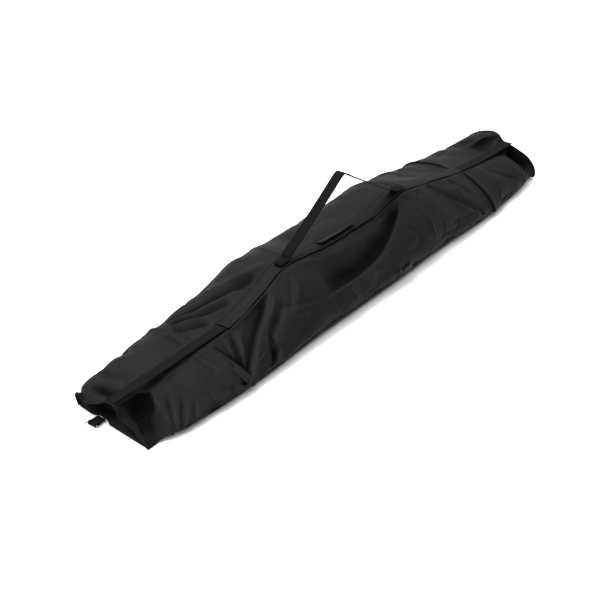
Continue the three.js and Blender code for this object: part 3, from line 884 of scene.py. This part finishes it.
# %% Folds of the far side, the tail and the tip
FAR_FOLDS = [
    fold(7, 10, (-0.275, 0.022), (-0.344, 0.058), (-0.408, 0.10), (-0.455, 0.13), fade=(0.1, 0.4)),
    fold(-15, 9, (-0.312, 0.024), (-0.382, 0.052), (-0.43, 0.076), (-0.50, 0.104), (-0.56, 0.125),
         fade=(0.15, 0.1)),
    fold(7, 6, (-0.366, 0.030), (-0.444, 0.062), (-0.50, 0.086), (-0.56, 0.108), fade=(0.15, 0.1)),
    fold(-12, 6, (-0.416, 0.032), (-0.47, 0.056), (-0.53, 0.084), (-0.57, 0.098), fade=(0.15, 0.1)),
    fold(7, 6, (-0.445, 0.030), (-0.49, 0.046), (-0.546, 0.074), (-0.58, 0.09), fade=(0.15, 0.1)),
    fold(-13, 6, (-0.50, 0.033), (-0.544, 0.052), (-0.585, 0.072), fade=(0.2, 0.02)),
    fold(-5, 14, (0.36, 0.03), (0.44, 0.07), (0.52, 0.10)),
    fold(-4, 12, (-0.15, 0.05), (-0.02, 0.06), (0.14, 0.05)),
    fold(-4, 14, (0.30, 0.15), (0.36, 0.11), (0.46, 0.09)),
    fold(-5, 12, (-0.45, 0.20), (-0.40, 0.15), (-0.30, 0.12)),
    fold(-4, 10, (-0.10, 0.20), (-0.06, 0.15), (0.03, 0.13)),
    fold(-5, 9, (0.15, 0.21), (0.18, 0.16), (0.25, 0.12)),
    fold(-5, 9, (0.52, 0.20), (0.48, 0.15), (0.44, 0.13)),
    fold(-4, 8, (-0.20, 0.21), (-0.22, 0.17), (-0.27, 0.15)),
]
TAIL_FOLDS = [
    fold(-7, 5, (-0.605, 0.080), (-0.612, 0.060), (-0.622, 0.026), fade=(0.2, 0.05)),
    fold(-4, 5, (-0.60, 0.036), (-0.584, 0.030)),
    fold(-6, 13, (-0.80, 0.13), (-0.786, 0.09), (-0.776, 0.04), fade=(0.3, 0.1)),
    fold(5, 9, (-0.826, 0.12), (-0.822, 0.08), (-0.81, 0.035), fade=(0.3, 0.1)),
    fold(-19, 12, (-0.858, 0.120), (-0.850, 0.08), (-0.852, 0.030), fade=(0.35, 0.02)),
    fold(6, 9, (-0.884, 0.160), (-0.878, 0.10), (-0.886, 0.045), fade=(0.2, 0.2)),
    fold(-20, 48, (-0.780, -0.002), (-0.805, -0.040), (-0.826, -0.075), (-0.850, -0.120),
         (-0.884, -0.200), fade=(0.2, 0.3), lap=-2),
    fold(-10, 10, (-0.82, -0.014), (-0.842, -0.050), (-0.866, -0.10), (-0.892, -0.17),
         fade=(0.2, 0.1)),
    fold(-8, 5, (-0.778, -0.066), (-0.804, -0.092), (-0.834, -0.130), (-0.862, -0.185),
         fade=(0.3, 0.05)),
    fold(-7, 5, (-0.755, -0.086), (-0.785, -0.112), (-0.812, -0.140), (-0.832, -0.185),
         fade=(0.3, 0.05)),
    fold(-5, 5, (-0.745, -0.110), (-0.770, -0.135), (-0.790, -0.170), fade=(0.4, 0.05)),
    fold(-6, 6, (-0.675, -0.026), (-0.655, -0.022)),
    fold(-5, 9, (-0.635, -0.026), (-0.64, -0.06), (-0.638, -0.10)),
    fold(-5, 9, (-0.66, -0.19), (-0.65, -0.16), (-0.645, -0.13), fade=(0.05, 0.4)),
    fold(-3, 10, (-0.72, -0.18), (-0.71, -0.14), (-0.70, -0.10), fade=(0.05, 0.4)),
    fold(-4, 7, (-0.895, -0.06), (-0.88, -0.09), (-0.898, -0.15)),
    fold(-5, 10, (-0.70, 0.21), (-0.71, 0.16), (-0.69, 0.12)),
    fold(-5, 10, (-0.80, 0.22), (-0.79, 0.18), (-0.76, 0.15)),
]
TIP_FOLDS = [
    fold(-84, 19, (0.868, 0.0), (0.869, -0.04), (0.870, -0.09), (0.874, -0.16), fade=(0.06, 0.35)),
    fold(7, 8, (0.834, 0.0), (0.832, -0.05), (0.828, -0.10), (0.820, -0.15), fade=(0.2, 0.3)),
    fold(-12, 5, (0.855, 0.026), (0.875, 0.028), (0.897, 0.030), fade=(0.4, 0.05)),
    fold(-4, 6, (0.80, 0.10), (0.84, 0.075), (0.87, 0.05)),
    fold(4, 6, (0.81, 0.12), (0.85, 0.10), (0.88, 0.07)),
    fold(-5, 12, (0.66, -0.05), (0.72, -0.09), (0.79, -0.15)),
    fold(-5, 8, (0.62, -0.19), (0.68, -0.17), (0.74, -0.18)),
    fold(-4, 10, (0.64, 0.06), (0.70, 0.09), (0.79, 0.10)),
    fold(-5, 9, (0.70, 0.21), (0.68, 0.17), (0.66, 0.14)),
    fold(-4, 8, (0.79, 0.20), (0.80, 0.16), (0.78, 0.13)),
]

# %% [markdown]
# Between the big folds the cloth keeps many short sharp creases from being rolled up and
# carried. They have no order, so they are drawn by chance, from a seed: most run within
# thirty degrees of straight down the side. The same seed gives the same creases each time.

# %% Short creases by chance
SHORT_CREASES = 110


def short_creases():
    draw = np.random.default_rng(31)
    found = []
    for _ in range(SHORT_CREASES):
        x, side = draw.uniform(-0.86, 0.84), draw.choice([-1, 1])
        g = side * draw.uniform(0.045, 0.205)
        turn = draw.normal(math.pi / 2, 0.55)
        reach, bend = draw.uniform(0.018, 0.05), draw.normal(0, 0.006)
        step_x, step_g = reach * math.cos(turn), reach * math.sin(turn)
        middle = (x - bend * math.sin(turn), g + bend * math.cos(turn))
        line = [(x - step_x, g - step_g), middle, (x + step_x, g + step_g)]
        depth = draw.choice([-1, -1, 1]) * draw.uniform(1.2, 3.4)
        found.append(fold(depth, draw.uniform(2.6, 5.0), *line, fade=(0.4, 0.4)))
    return found


FOLDS = NEAR_FOLDS + FAR_FOLDS + TAIL_FOLDS + TIP_FOLDS + short_creases()
print("folds:", len(FOLDS))

# %% [markdown]
# The folds, the short creases and a slight ripple are added up to one height over the smooth
# bag, and each point moves out by that height. The cloth stays flat where the strip is sewn,
# dips at the base seam, keeps to its line at the rims, and leaves room for the pulls.

# %% The bag with its folds
RIPPLES = 36
RIPPLE_HEIGHT = 5.0 * MM
SEAM_SINK = 0.004  # how deep the base seam pulls the cloth in
STRIP_FADE = 0.012  # the distance over which folds fade out at the strip
STRIP_GIVE = 0.08  # the share of them that still shows on the strip beyond the seams
# Fold depths where painted shade begins, and where it is full.
SHADE_FROM_DEPTH, SHADE_FULL_DEPTH = -3 * MM, -20 * MM  # where a fold starts to go dark, and ends
HELD_IN = 4 * MM  # how far inside the rim the trough's cloth stays
PULL_ROOM = 1.2 * MM


def ripple(x, g, height):
    """Slight creases over all the cloth, which stay flat between: bent zigzag waves."""
    draw = np.random.default_rng(7)
    total = np.zeros(np.broadcast(x, g).shape)
    for _ in range(RIPPLES):
        length = draw.uniform(0.05, 0.2)
        turn = draw.uniform(0, math.pi)
        phase = draw.uniform(0, math.tau)
        bend, bend_turn = draw.uniform(0.01, 0.05), draw.uniform(0, math.tau)
        across = x * math.sin(turn) - g * math.cos(turn)
        wave = x * math.cos(turn) + g * math.sin(turn) + bend * np.sin(across * 21 + bend_turn)
        total += length * np.arcsin(0.985 * np.sin(wave * math.tau / length + phase))
    return total / np.abs(total).max() * height


def zip_lip(x, g):
    """Beside the zip the cloth rises to meet the flap, less where the pulls come out."""
    beside_zip = smooth(-0.510, -0.490, x) * smooth(0.600, 0.575, x)
    near = 2.0 * MM + 2.4 * MM * smooth(0.105, 0.15, np.abs(x))
    rise = np.where(g < 0, near, 1.2 * MM)
    return rise * beside_zip * smooth(0.034, 0.0, np.abs(g) - STRIP_HALF)


def tucked_under(grid, hollow, towards):
    """Turns the edge of a side panel under the flap, as rows of points added along it."""
    first = grid[:, -1] if towards > 0 else grid[:, 0]
    turns = [(1.6, 0.3), (3.4, -0.2), (4.8, -1.2), (5.2, -2.4), (4.4, -3.2)]
    added = [first + np.array([0, towards * y, z]) * MM for y, z in turns]
    extra = np.stack(added if towards > 0 else added[::-1], 1)
    blank = np.zeros(extra.shape[:2])
    parts = [(grid, hollow), (extra, blank)]
    parts = parts if towards > 0 else parts[::-1]
    return np.concatenate([p[0] for p in parts], 1), np.concatenate([p[1] for p in parts], 1)


def bag_surface(x, g, lift=0.0):
    """The outer face of the bag's cloth at a grid of x and g, and its mask of painted shade."""
    x, g = np.broadcast_arrays(np.asarray(x, float), np.asarray(g, float))
    points, fallen = slack_end(smooth_bag(x, g), x, g)
    height = ripple(x, g, RIPPLE_HEIGHT) + lift
    for item in FOLDS:
        height = height + fold_height(x, g, item)
    off_strip = smooth(STRIP_HALF, STRIP_HALF + STRIP_FADE, np.abs(g))
    held = np.abs(x) < SEAM_X
    height = np.where(held, height * off_strip, height * np.maximum(off_strip, STRIP_GIVE))
    # The mask of painted shade: deep folds, the tail's fallen cloth and the tip's trough.
    in_trough = smooth(0.840, 0.852, x) * smooth(-0.010, -0.026, g) * smooth(-0.215, -0.195, g)
    in_fold = smooth(SHADE_FROM_DEPTH, SHADE_FULL_DEPTH, height)
    hollow = np.maximum(in_fold, 0.9 * np.maximum(fallen, in_trough))
    height += zip_lip(x, g)
    height -= SEAM_SINK * np.exp(-(((np.abs(g) - SEAM_G) / 0.007) ** 2))
    rim = np.minimum(x + BAG_END, BAG_END - x)
    height *= smooth(-0.002, 0.02, rim) * 0.9 + 0.1
    moved = points + normals_of(points) * height[..., None]
    moved[..., 2] = np.maximum(moved[..., 2], 1.5 * MM)
    moved[..., 0] = np.minimum(moved[..., 0], BAG_END - HELD_IN * smooth(0.0, 0.012, rim))
    pulls_pass = smooth(0.115, 0.090, np.abs(x)) * smooth(-0.075, -0.060, g) * (g < 0)
    under_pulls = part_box("tail_pull")[0].z - PULL_ROOM
    above = np.maximum(moved[..., 2] - under_pulls, 0)
    moved[..., 2] -= above * pulls_pass
    return moved, hollow


# %% [markdown]
# ## The panels
# Five panels of cloth make the bag: a base, one long panel on each side of the zip, and a
# section that goes right over the top at each end. The end sections lap over the middle
# ones with a turned hem, so their edges stand a little proud. One skin cut from one mesh
# would be less work, but the hems and the open edge by the zip need separate cloth.

# %% Cut the panels
CELL = 0.0028
CLOTH = 1.3 * MM
HEM = 9 * MM


def run(a, b, cell=CELL):
    return np.linspace(a, b, int(abs(b - a) / cell) + 2)


def hem_lift(x, edge, towards):
    """How much the turned hem of an end section stands up, near its edge."""
    into = (x - edge) * towards
    return 3.2 * MM * smooth(0.03, 0.0, into) + 0.9 * MM * smooth(0.011, 0.008, into)


def place_panel(piece, node, body="bag"):
    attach(piece, body)
    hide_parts(node)
    return piece


UNDER_HEM = 0.006  # how far the middle panels reach under the end sections
OVER_SEAM = 0.001  # how far the panels reach past the base seam

along = run(-SEAM_X - UNDER_HEM, SEAM_X + UNDER_HEM)[:, None]
right_g = run(-SEAM_G - OVER_SEAM, -STRIP_HALF)[None, :]
left_g = run(STRIP_HALF, SEAM_G + OVER_SEAM)[None, :]
near_grid, near_painted_shade = tucked_under(*bag_surface(along, right_g), 1)
far_grid, far_painted_shade = tucked_under(*bag_surface(along, left_g), -1)
place_panel(sheet("near_side", near_grid, CLOTH, cloth, near_painted_shade), "middle_panel_right")
place_panel(sheet("far_side", far_grid, CLOTH, cloth, far_painted_shade), "middle_panel_left")

round_g = run(-SEAM_G - OVER_SEAM, SEAM_G + OVER_SEAM)[None, :]
tail_x = run(-BAG_END, -SEAM_X + HEM)[:, None]
tip_x = run(SEAM_X - HEM, BAG_END)[:, None]
pulled_up = 1 + 1.1 * np.exp(-(((round_g + 0.11) / 0.04) ** 2))
tail_lift = hem_lift(tail_x, -SEAM_X + HEM, -1) * pulled_up
tail_grid, tail_painted_shade = bag_surface(tail_x, round_g, tail_lift)
tip_grid, tip_painted_shade = bag_surface(tip_x, round_g, hem_lift(tip_x, SEAM_X - HEM, 1))
place_panel(sheet("tail_cover", tail_grid, CLOTH, cloth, tail_painted_shade), "tail_section")
place_panel(sheet("tip_cover", tip_grid, CLOTH, cloth, tip_painted_shade), "tip_section")

patch_x = run(-SEAM_X - UNDER_HEM, -0.503)[:, None]
patch_g = run(-STRIP_HALF + 0.001, STRIP_HALF - 0.001)[None, :]
patch_grid = smooth_bag(patch_x, patch_g)
place_panel(sheet("strip_end", patch_grid, CLOTH, cloth), "crest_patch")
print("a side panel is a grid of", near_grid.shape[:2], "points")

# %% [markdown]
# The base is one long panel too. It curls up on each side to meet the side panels at the
# base seam, and it lies flat on the floor between. A panel of cloth closes each end, slung
# from the rim to the floor. Both leave room for the buckle's tab to tip up and down.

# %% The base and the two ends
TAB_Y = 0.035  # where the buckle's tab comes out of the tail
TAB_REACH = 0.024
BASE_TRIM, END_TRIM = 0.010, 0.008  # how far the cloth is cut back to let the tab tip


def near_tab(y):
    """1 where the buckle's tab comes out of the tail, and 0 away from it."""
    return np.exp(-(((y - TAB_Y) / TAB_REACH) ** 4))


def base_surface(x, share):
    """Under the bag: share 0 at the near base seam and 1 at the far one."""
    curl = 0.3
    x, share = np.broadcast_arrays(np.asarray(x, float), np.asarray(share, float))
    found = np.zeros(x.shape + (3,))
    for side, wide_at, low_at in ((-1, RIGHT, RIGHT_LOW), (1, LEFT, LEFT_LOW)):
        reach = share if side < 0 else 1 - share
        turn = SEAM_TURN + (math.pi / 2 - SEAM_TURN) * np.clip(reach / curl, 0, 1)
        y = side * (column(x, wide_at) - FOOT * (1 - np.cos(turn)))
        z = column(x, low_at) * (1 - np.sin(turn))
        edge = np.stack([x, y, z], -1)
        found = np.where((reach <= 0.5)[..., None], edge, found)
    inner_right = -(column(x, RIGHT) - FOOT)
    inner_left = column(x, LEFT) - FOOT
    middle = np.clip((share - curl) / (1 - 2 * curl), 0, 1)
    flat_y = inner_right + (inner_left - inner_right) * middle
    flat = (share > curl) & (share < 1 - curl)
    found[..., 1] = np.where(flat, flat_y, found[..., 1])
    found[..., 2] = np.where(flat, 0.0, found[..., 2])
    for rim, x_end in ((TAIL_RIM, -1), (TIP_RIM, 1)):
        towards = smooth(0.82, 0.9, x * x_end)
        line = rim[[0, -1], 1:]
        end = line[0] + (line[1] - line[0]) * share[..., None]
        end[..., 2] = 0.004 * np.abs(2 * share - 1) ** 6
        end[..., 0] = x + (end[..., 0] - x_end * BAG_END) * smooth(0.84, 0.9, x * x_end)
        found = found + (end - found) * towards[..., None]
    found[..., 0] += BASE_TRIM * near_tab(found[..., 1]) * smooth(-0.88, -0.9, x)
    sink = SEAM_SINK * np.exp(-((np.minimum(share, 1 - share) / 0.02) ** 2))
    found[..., 1] += np.where(share < 0.5, sink, -sink)
    return found


base_grid = base_surface(run(-BAG_END, BAG_END, 0.006)[:, None], run(1, 0, 0.012)[None, :])
place_panel(sheet("base", base_grid, CLOTH, cloth), "base_panel")


def end_panel(name, rim, towards, node, bulge):
    """The cloth that closes an end, slung from its rim down to the floor."""
    reach = 0.222
    g = run(-reach, reach)[:, None]
    down = run(0, 1, 0.04)[None, :]
    top = curve_through(rim, g)
    first, last = rim[0, 1:], rim[-1, 1:]
    share = (g + reach) / (2 * reach)
    foot = first + (last - first) * share[..., None]
    foot[..., 2] = 0.003
    point = top + (foot - top) * down[..., None]
    open_here = np.sin(math.pi * share) * np.sin(math.pi * down)
    creased = 0.005 * np.arcsin(0.98 * np.sin(g * 34 + down * 4 + np.sin(g * 60)))
    point[..., 0] += towards * (bulge * open_here + creased * open_here)
    if towards < 0:
        point[..., 0] += END_TRIM * near_tab(point[..., 1]) * down**2
    point = point if towards < 0 else point[::-1]
    return place_panel(sheet(name, point, CLOTH, shaded_end_cloth), node)


end_panel("tail_end", TAIL_RIM, -1, "tail_end_panel", -0.034)
end_panel("tip_end", TIP_RIM, 1, "tip_end_panel", 0.007)
print("base and ends in place")

# %% [markdown]
# A cord in a folded tape is sewn into each rim, so that the end keeps its outline. At the
# tail it is a double line: the piping itself, and the seam beside it. Each is a real cord,
# because a line in the finish would have no edge against the light.

# %% The corded rims
RIM_CORD = 2.4 * MM
SEAM_CORD = 1.3 * MM


def rim_cord(name, rim, node, outwards):
    """The piping round one end, on its rim line."""
    line = curve_through(rim, np.linspace(-0.223, 0.223, 220))
    line[:, 0] += outwards
    line[:, 2] = np.maximum(line[:, 2], RIM_CORD)
    cord = swept(name, line, round_section(RIM_CORD, 10), binding, across=(1, 0, 0))
    place_panel(cord, node)


rim_cord("tail_rim", TAIL_RIM, "tail_piping", -0.001)
rim_cord("tip_rim", TIP_RIM, "tip_piping", 0.001)
tail_seam_line = swept("tail_rim_seam", tail_grid[3], round_section(SEAM_CORD, 8), binding,
                       across=(1, 0, 0))
place_panel(tail_seam_line, "tail_piping")
print("rim cords are", 2 * RIM_CORD / MM, "mm thick")

# %% [markdown]
# ## The placket
# A flap of cloth lies over the zip. It is sewn down along its far edge and open along its
# near one, where it is turned under into a hem and waves a little. It is a strip of its own
# over the zip, so a real gap shows under its open edge.

# %% The flap over the zip
PLACKET = {"start": -0.504, "end": 0.592, "right": -0.020, "left": 0.0265, "top": 0.006}


def placket_surface(x, share):
    fall = 0.0040 * smooth(0.66, 0.88, share) + 0.0006 * smooth(0.9, 1.0, share)
    wave = 0.0008 * np.sin(x * 31) + 0.0005 * np.sin(x * 77 + 1)
    y = PLACKET["right"] + (PLACKET["left"] - PLACKET["right"]) * share + wave * (1 - share)
    bead = 0.0007 * np.exp(-(((share - 0.1) / 0.05) ** 2))
    dip = -0.0007 * np.exp(-(((share - 0.24) / 0.035) ** 2))
    z = crest(x) + PLACKET["top"] - fall + wave * 0.7 * (1 - share) + bead + dip
    return np.stack(np.broadcast_arrays(x, y, z), -1)


placket_grid = placket_surface(run(PLACKET["start"], PLACKET["end"], 0.003)[:, None],
                               np.linspace(0, 1, 24)[None, :])
placket = sheet("zip_flap", placket_grid, 1.2 * MM, shaded_flap_cloth)
place_panel(placket, "zip_placket")
print("the flap is", round(PLACKET["end"] - PLACKET["start"], 3), "m long")

# %% [markdown]
# A small tab of doubled cloth covers the place where the sliders meet. It is sewn along its
# far edge and its free edge flares up. It lifts about that edge, so it is a piece of its own.

# %% The tab over the sliders
COVER = {"start": -0.100, "end": 0.050, "hinge": 0.014, "width": 0.022, "lift": 0.0079}


def cover_surface(x, share):
    """Share 0 at the free edge and 1 along the stitching."""
    middle = (COVER["start"] + COVER["end"]) / 2
    half = (COVER["end"] - COVER["start"]) / 2
    corner = ((x - middle) / half) ** 2
    flare = (0.0062 + 0.0012 * corner) * (1 - share) ** 1.6
    y = COVER["hinge"] - COVER["width"] * (1 - share) + 0.0006 * np.sin(x * 60) * (1 - share)
    z = crest(x) + COVER["lift"] + flare + 0.0004 * np.sin(x * 90) * (1 - share)
    return np.stack(np.broadcast_arrays(x, y, z), -1)


cover_grid = cover_surface(run(COVER["start"], COVER["end"], 0.0025)[:, None],
                           np.linspace(0, 1, 14)[None, :])
cover = sheet("slider_tab", cover_grid, 1.8 * MM, cloth)
place_panel(cover, "slider_cover_tab", body="cover_tab")
print("the tab is", round(COVER["end"] - COVER["start"], 3), "m long")

# %% [markdown]
# ## The straps
# Webbing comes off a roll at one width and one thickness, so each strap is one section
# carried along a line. The strap along the tail is pulled tight from the end of the flap to
# the rim, and the cloth beside it sags away from it.

# %% Top straps
STRAP_WIDTH = 0.030
STRAP_THICK = 2 * MM
strap_cut = strap_section(STRAP_WIDTH, STRAP_THICK, ribs=5, relief=0.12 * MM)


def above_crest(x, up):
    """A point on the middle line, a little above the top of the bag."""
    return x, 0, float(crest(x)) + up


tail_line = smooth_path([
    (-0.909, 0, 0.0620), (-0.903, 0, 0.0665), (-0.880, 0, 0.0672), (-0.75, 0, 0.0695),
    (-0.62, 0, 0.0748), (-0.506, 0, 0.0785),
], 110)
tail_strap = swept("tail_top_strap", tail_line, strap_cut, webbing)
place_panel(tail_strap, "tail_strap")
tip_points = [above_crest(x, 0.0036) for x in np.linspace(0.596, 0.70, 6)]
tip_points += [(0.80, 0, 0.0985), (0.87, 0, 0.0985), (0.897, 0, 0.0985), (0.905, 0, 0.096)]
tip_line = smooth_path(tip_points, 90)
tip_strap = swept("tip_top_strap", tip_line, strap_cut, webbing)
place_panel(tip_strap, "tip_strap")
print("straps are", STRAP_WIDTH / MM, "mm wide")

# %% [markdown]
# ## The handle
# One length of webbing, sewn flat to the flap at both ends, where a second patch is sewn
# over it. It is stiff enough to stand in a pointed arch. Its foot is sewn to the bag and
# the rest can swing; here the whole handle is baked in place as it stands.

# %% The carry handle
ANCHOR_X = 0.266
ANCHOR_UP = 0.0116
FOOT_UP = 0.0095
APEX = (-0.010, 0.322)


def handle_line():
    """From the tail's foot over the point of the arch to the tip's foot."""
    rising = FOOT_UP + 0.0006
    tail = [(-0.282, FOOT_UP), (-0.268, FOOT_UP), (-0.254, rising)]
    points = [above_crest(x, up) for x, up in tail]
    points += [(-0.238, 0, 0.1735), (-0.205, 0, 0.1950), (-0.15, 0, 0.2300), (-0.09, 0, 0.2700),
               (-0.045, 0, 0.3010), (-0.022, 0, 0.3165), (APEX[0], 0, APEX[1] - 0.001),
               (0.004, 0, 0.3165), (0.028, 0, 0.3010), (0.075, 0, 0.2720), (0.14, 0, 0.2330),
               (0.20, 0, 0.1990), (0.238, 0, 0.1800)]
    points += [above_crest(-x, up) for x, up in tail[::-1]]
    return smooth_path(points, 260)


line = handle_line()
handle = swept("carry_handle", line, strap_cut, webbing)
outward, _ = frames_along(line)
turned_from, turned_to = -0.245, -0.212
foot = (line[:, 0] > turned_from) & (line[:, 0] < turned_to)
doubled_line = (line + outward * (STRAP_THICK + 0.1 * MM))[foot]
doubled = swept("handle_turned_end", doubled_line, strap_cut, webbing)
for piece in (handle, doubled):
    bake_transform(piece)
    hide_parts("handle_strap")

for name, x in (("near_anchor", -ANCHOR_X), ("far_anchor", ANCHOR_X)):
    half = 0.018
    points = [above_crest(at, ANCHOR_UP) for at in np.linspace(x - half, x + half, 5)]
    patch = swept(name, smooth_path(points, 24), strap_cut, webbing)
    node = "anchor_patch_tail" if x < 0 else "anchor_patch_tip"
    place_panel(patch, node)
print("the handle's webbing is", round(lengths_along(line)[-1], 3), "m long")

# %% [markdown]
# ## The stitching
# Every edge is held by a lockstitch in thick black thread: short raised stitches with small
# gaps, which dip into the cloth at each end. Dashes in the finish would be flat, so each one
# is a tiny rounded bar, laid along the line that is sewn, and casts its own shadow.

# %% Sew a line
STITCH = 3.4 * MM
STITCH_GAP = 1.0 * MM
THREAD_RADIUS = 0.42 * MM


def stitches(name, lines, body="bag"):
    """Stitches along several lines, each given as points and the direction out of the cloth."""
    points, faces, sides = [], [], 6
    turn = np.linspace(0, math.tau, sides, endpoint=False)
    for path, out in lines:
        path = np.asarray(path, float)
        out = np.broadcast_to(np.asarray(out, float), path.shape)
        reach = lengths_along(path)
        starts = np.arange(0, reach[-1] - STITCH, STITCH + STITCH_GAP)
        for start in starts:
            at = start + STITCH * np.array([0, 0.18, 0.82, 1])
            spine = np.stack([np.interp(at, reach, path[:, k]) for k in range(3)], 1)
            up = np.stack([np.interp(at, reach, out[:, k]) for k in range(3)], 1)
            along = spine[-1] - spine[0]
            aside = np.cross(along / np.linalg.norm(along), up)
            spine = spine + up * (THREAD_RADIUS * np.array([-0.9, 0.45, 0.45, -0.9]))[:, None]
            ring = np.cos(turn)[None, :, None] * up[:, None]
            ring = ring + np.sin(turn)[None, :, None] * aside[:, None]
            ring = spine[:, None] + ring * THREAD_RADIUS
            first = len(points)
            points.extend(ring.reshape(-1, 3))
            index = first + np.arange(4 * sides).reshape(4, sides)
            index = np.concatenate([index, index[:, :1]], 1)
            faces += grid_faces(index[:, ::-1])
            faces += [tuple(map(int, index[0, -2::-1])), tuple(map(int, index[-1, :-1]))]
    points = np.array(points)
    piece = mesh_of(name, points, faces, points[:, :2], thread)
    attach(piece, body)
    return piece


def box_and_cross(centre, half_x, half_y):
    """The four sides and two diagonals that hold a strap's end."""
    x, y, z = centre
    corner = [np.array([x + sx * half_x, y + sy * half_y, z])
              for sx, sy in ((-1, -1), (1, -1), (1, 1), (-1, 1))]
    pairs = [(0, 1), (1, 2), (2, 3), (3, 0), (0, 2), (1, 3)]
    return [(np.linspace(corner[a], corner[b], 12), (0, 0, 1)) for a, b in pairs]


# %% Sew the flap, the hems and the straps
def row_of(grid, row):
    return grid[row], normals_of(grid)[row]


def beside(line, offset, rise):
    """A line along a strap, set off to one side and up on its face."""
    up, side = frames_along(line)
    return line + side * offset + up * rise, up


flap_rows = [(placket_grid[:, j], normals_of(placket_grid)[:, j]) for j in (4, 20, 22)]
stitches("flap_stitching", flap_rows)
tail_hem_rows = [row_of(tail_grid, -2), row_of(tail_grid, -4)]
tip_hem_rows = [row_of(tip_grid, 1), row_of(tip_grid, 3)]
stitches("hem_stitching", tail_hem_rows + tip_hem_rows)
strap_rows = []
from_middle = STRAP_WIDTH / 2 - 3 * MM
for strap_line in (tail_line, tip_line):
    strap_rows += [beside(strap_line, side * from_middle, STRAP_THICK / 2) for side in (-1, 1)]
stitches("strap_stitching", strap_rows)
anchor_rows = []
for x in (-ANCHOR_X, ANCHOR_X):
    top = float(crest(x)) + ANCHOR_UP + STRAP_THICK / 2
    anchor_rows += box_and_cross((x, 0, top), 0.014, 0.0115)
stitches("anchor_stitching", anchor_rows)
stitches("tab_stitching", [(cover_grid[:, -2], normals_of(cover_grid)[:, -2])], body="cover_tab")
print("stitches sewn")

# %% [markdown]
# ## The buckle at the tail
# A small ladder buckle hangs from a tab of webbing that comes out of the tail's lower edge.
# It is bent from round wire, so it is a rounded frame with one bar across the middle, each
# swept along its line and joined. The webbing goes round the frame's end and back.

# %% The buckle and its tab
BUCKLE = {"length": 0.028, "width": 0.036, "wire": 0.0014}


def rounded_loop(length, width, corner):
    """Points round a rectangle with round corners, in x and y."""
    loop = []
    steps = 10
    for quarter, (sx, sy) in enumerate([(1, 1), (-1, 1), (-1, -1), (1, -1)]):
        turn = quarter * math.pi / 2 + np.linspace(0, math.pi / 2, steps)
        x = sx * (length / 2 - corner) + corner * np.cos(turn)
        y = sy * (width / 2 - corner) + corner * np.sin(turn)
        loop.append(np.stack([x, y, 0 * x], 1))
    return np.concatenate(loop)


def joined(name, things):
    """Several meshes as one piece."""
    bpy.ops.object.select_all(action="DESELECT")
    for thing in things:
        thing.select_set(True)
    bpy.context.view_layer.objects.active = things[0]
    bpy.ops.object.join()
    things[0].name = name
    return things[0]


centre = np.array([-0.932, TAB_Y, 0.0038])
wire = BUCKLE["wire"]
loop = rounded_loop(BUCKLE["length"] - 2 * wire, BUCKLE["width"] - 2 * wire, 0.004) + centre
cut = round_section(wire, 12)
frame_wire = swept("buckle_frame", loop, cut, nickel, across=(0, 0, 1), closed=True)
bar_y = BUCKLE["width"] / 2 - 2 * wire
bar_line = centre + np.linspace((0, -bar_y, 0), (0, bar_y, 0), 8)
bar_wire = swept("buckle_bar", bar_line, cut, nickel, across=(0, 0, 1))
buckle = joined("ladder_buckle", [frame_wire, bar_wire])
place_panel(buckle, "tail_buckle", body="buckle")

tab_points = [(-0.902, 0.0064), (-0.915, 0.0066), (-0.9285, 0.0066), (-0.9345, 0.0052),
              (-0.9352, 0.0030), (-0.9325, 0.0014), (-0.9285, 0.0016), (-0.918, 0.0036),
              (-0.902, 0.0042)]
tab_line = smooth_path([(x, TAB_Y, z) for x, z in tab_points], 70)
tab_cut = strap_section(0.025, 1.5 * MM, ribs=3, relief=0.28 * MM, columns=25)
tab = swept("buckle_webbing", tab_line, tab_cut, webbing)
place_panel(tab, "buckle_tab", body="buckle_tab")
print("the buckle is", BUCKLE["length"] / MM, "by", BUCKLE["width"] / MM, "mm")

# %% [markdown]
# ## The label
# A blank woven label is caught in the base seam. It leans on the bag and its free edge
# curls away a little, so it is a small sheet in the box that the design gives it.

# %% The blank label
low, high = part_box("seam_label")
label_x = np.linspace(low.x, high.x, 24)[:, None]
label_up = np.linspace(0, 1, 16)[None, :]
label_y = low.y + (high.y - low.y) * (1 - label_up) * 0.8 + 0.0005
label_curl = -0.0012 * label_up**3 * (1 + 0.5 * np.sin(label_x * 90))
label_z = low.z + (high.z - low.z) * label_up
label_grid = np.stack(np.broadcast_arrays(label_x, label_y + label_curl, label_z), -1)
label = sheet("blank_label", label_grid, 0.7 * MM, label_satin)
place_panel(label, "seam_label", body="label")
print("the label is", round((high.x - low.x) / MM), "mm wide")

# %% [markdown]
# ## The zip
# The tapes, the coil, the stops, the sliders and their pulls keep the design's own shapes.
# They only need their finishes, and the metal ones a slight bevel that catches the light.

# %% Finish the zip
KEPT = {
    "zip_tape_right": zip_tape, "zip_tape_left": zip_tape,
    "zip_coil_right": zip_coil, "zip_coil_left": zip_coil,
    "zip_stop_tail": painted_metal, "zip_stop_tip": painted_metal,
    "tail_slider": painted_metal, "tip_slider": painted_metal,
    "tail_pull": painted_metal, "tip_pull": painted_metal,
    "tail_seam_tape": zip_tape, "tip_seam_tape": zip_tape,
}
BEVEL = 0.25 * MM
BEVEL_FROM = math.radians(40)  # the sharpest turn that is left as it is
for node, finish in KEPT.items():
    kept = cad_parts[node]
    kept.data.materials.clear()
    kept.data.materials.append(finish)
    if finish is painted_metal:
        bevel = kept.modifiers.new("soft edges", "BEVEL")
        bevel.width = BEVEL
        bevel.segments = 2
        bevel.limit_method = "ANGLE"
        bevel.angle_limit = BEVEL_FROM
print("zip pieces finished:", len(KEPT))
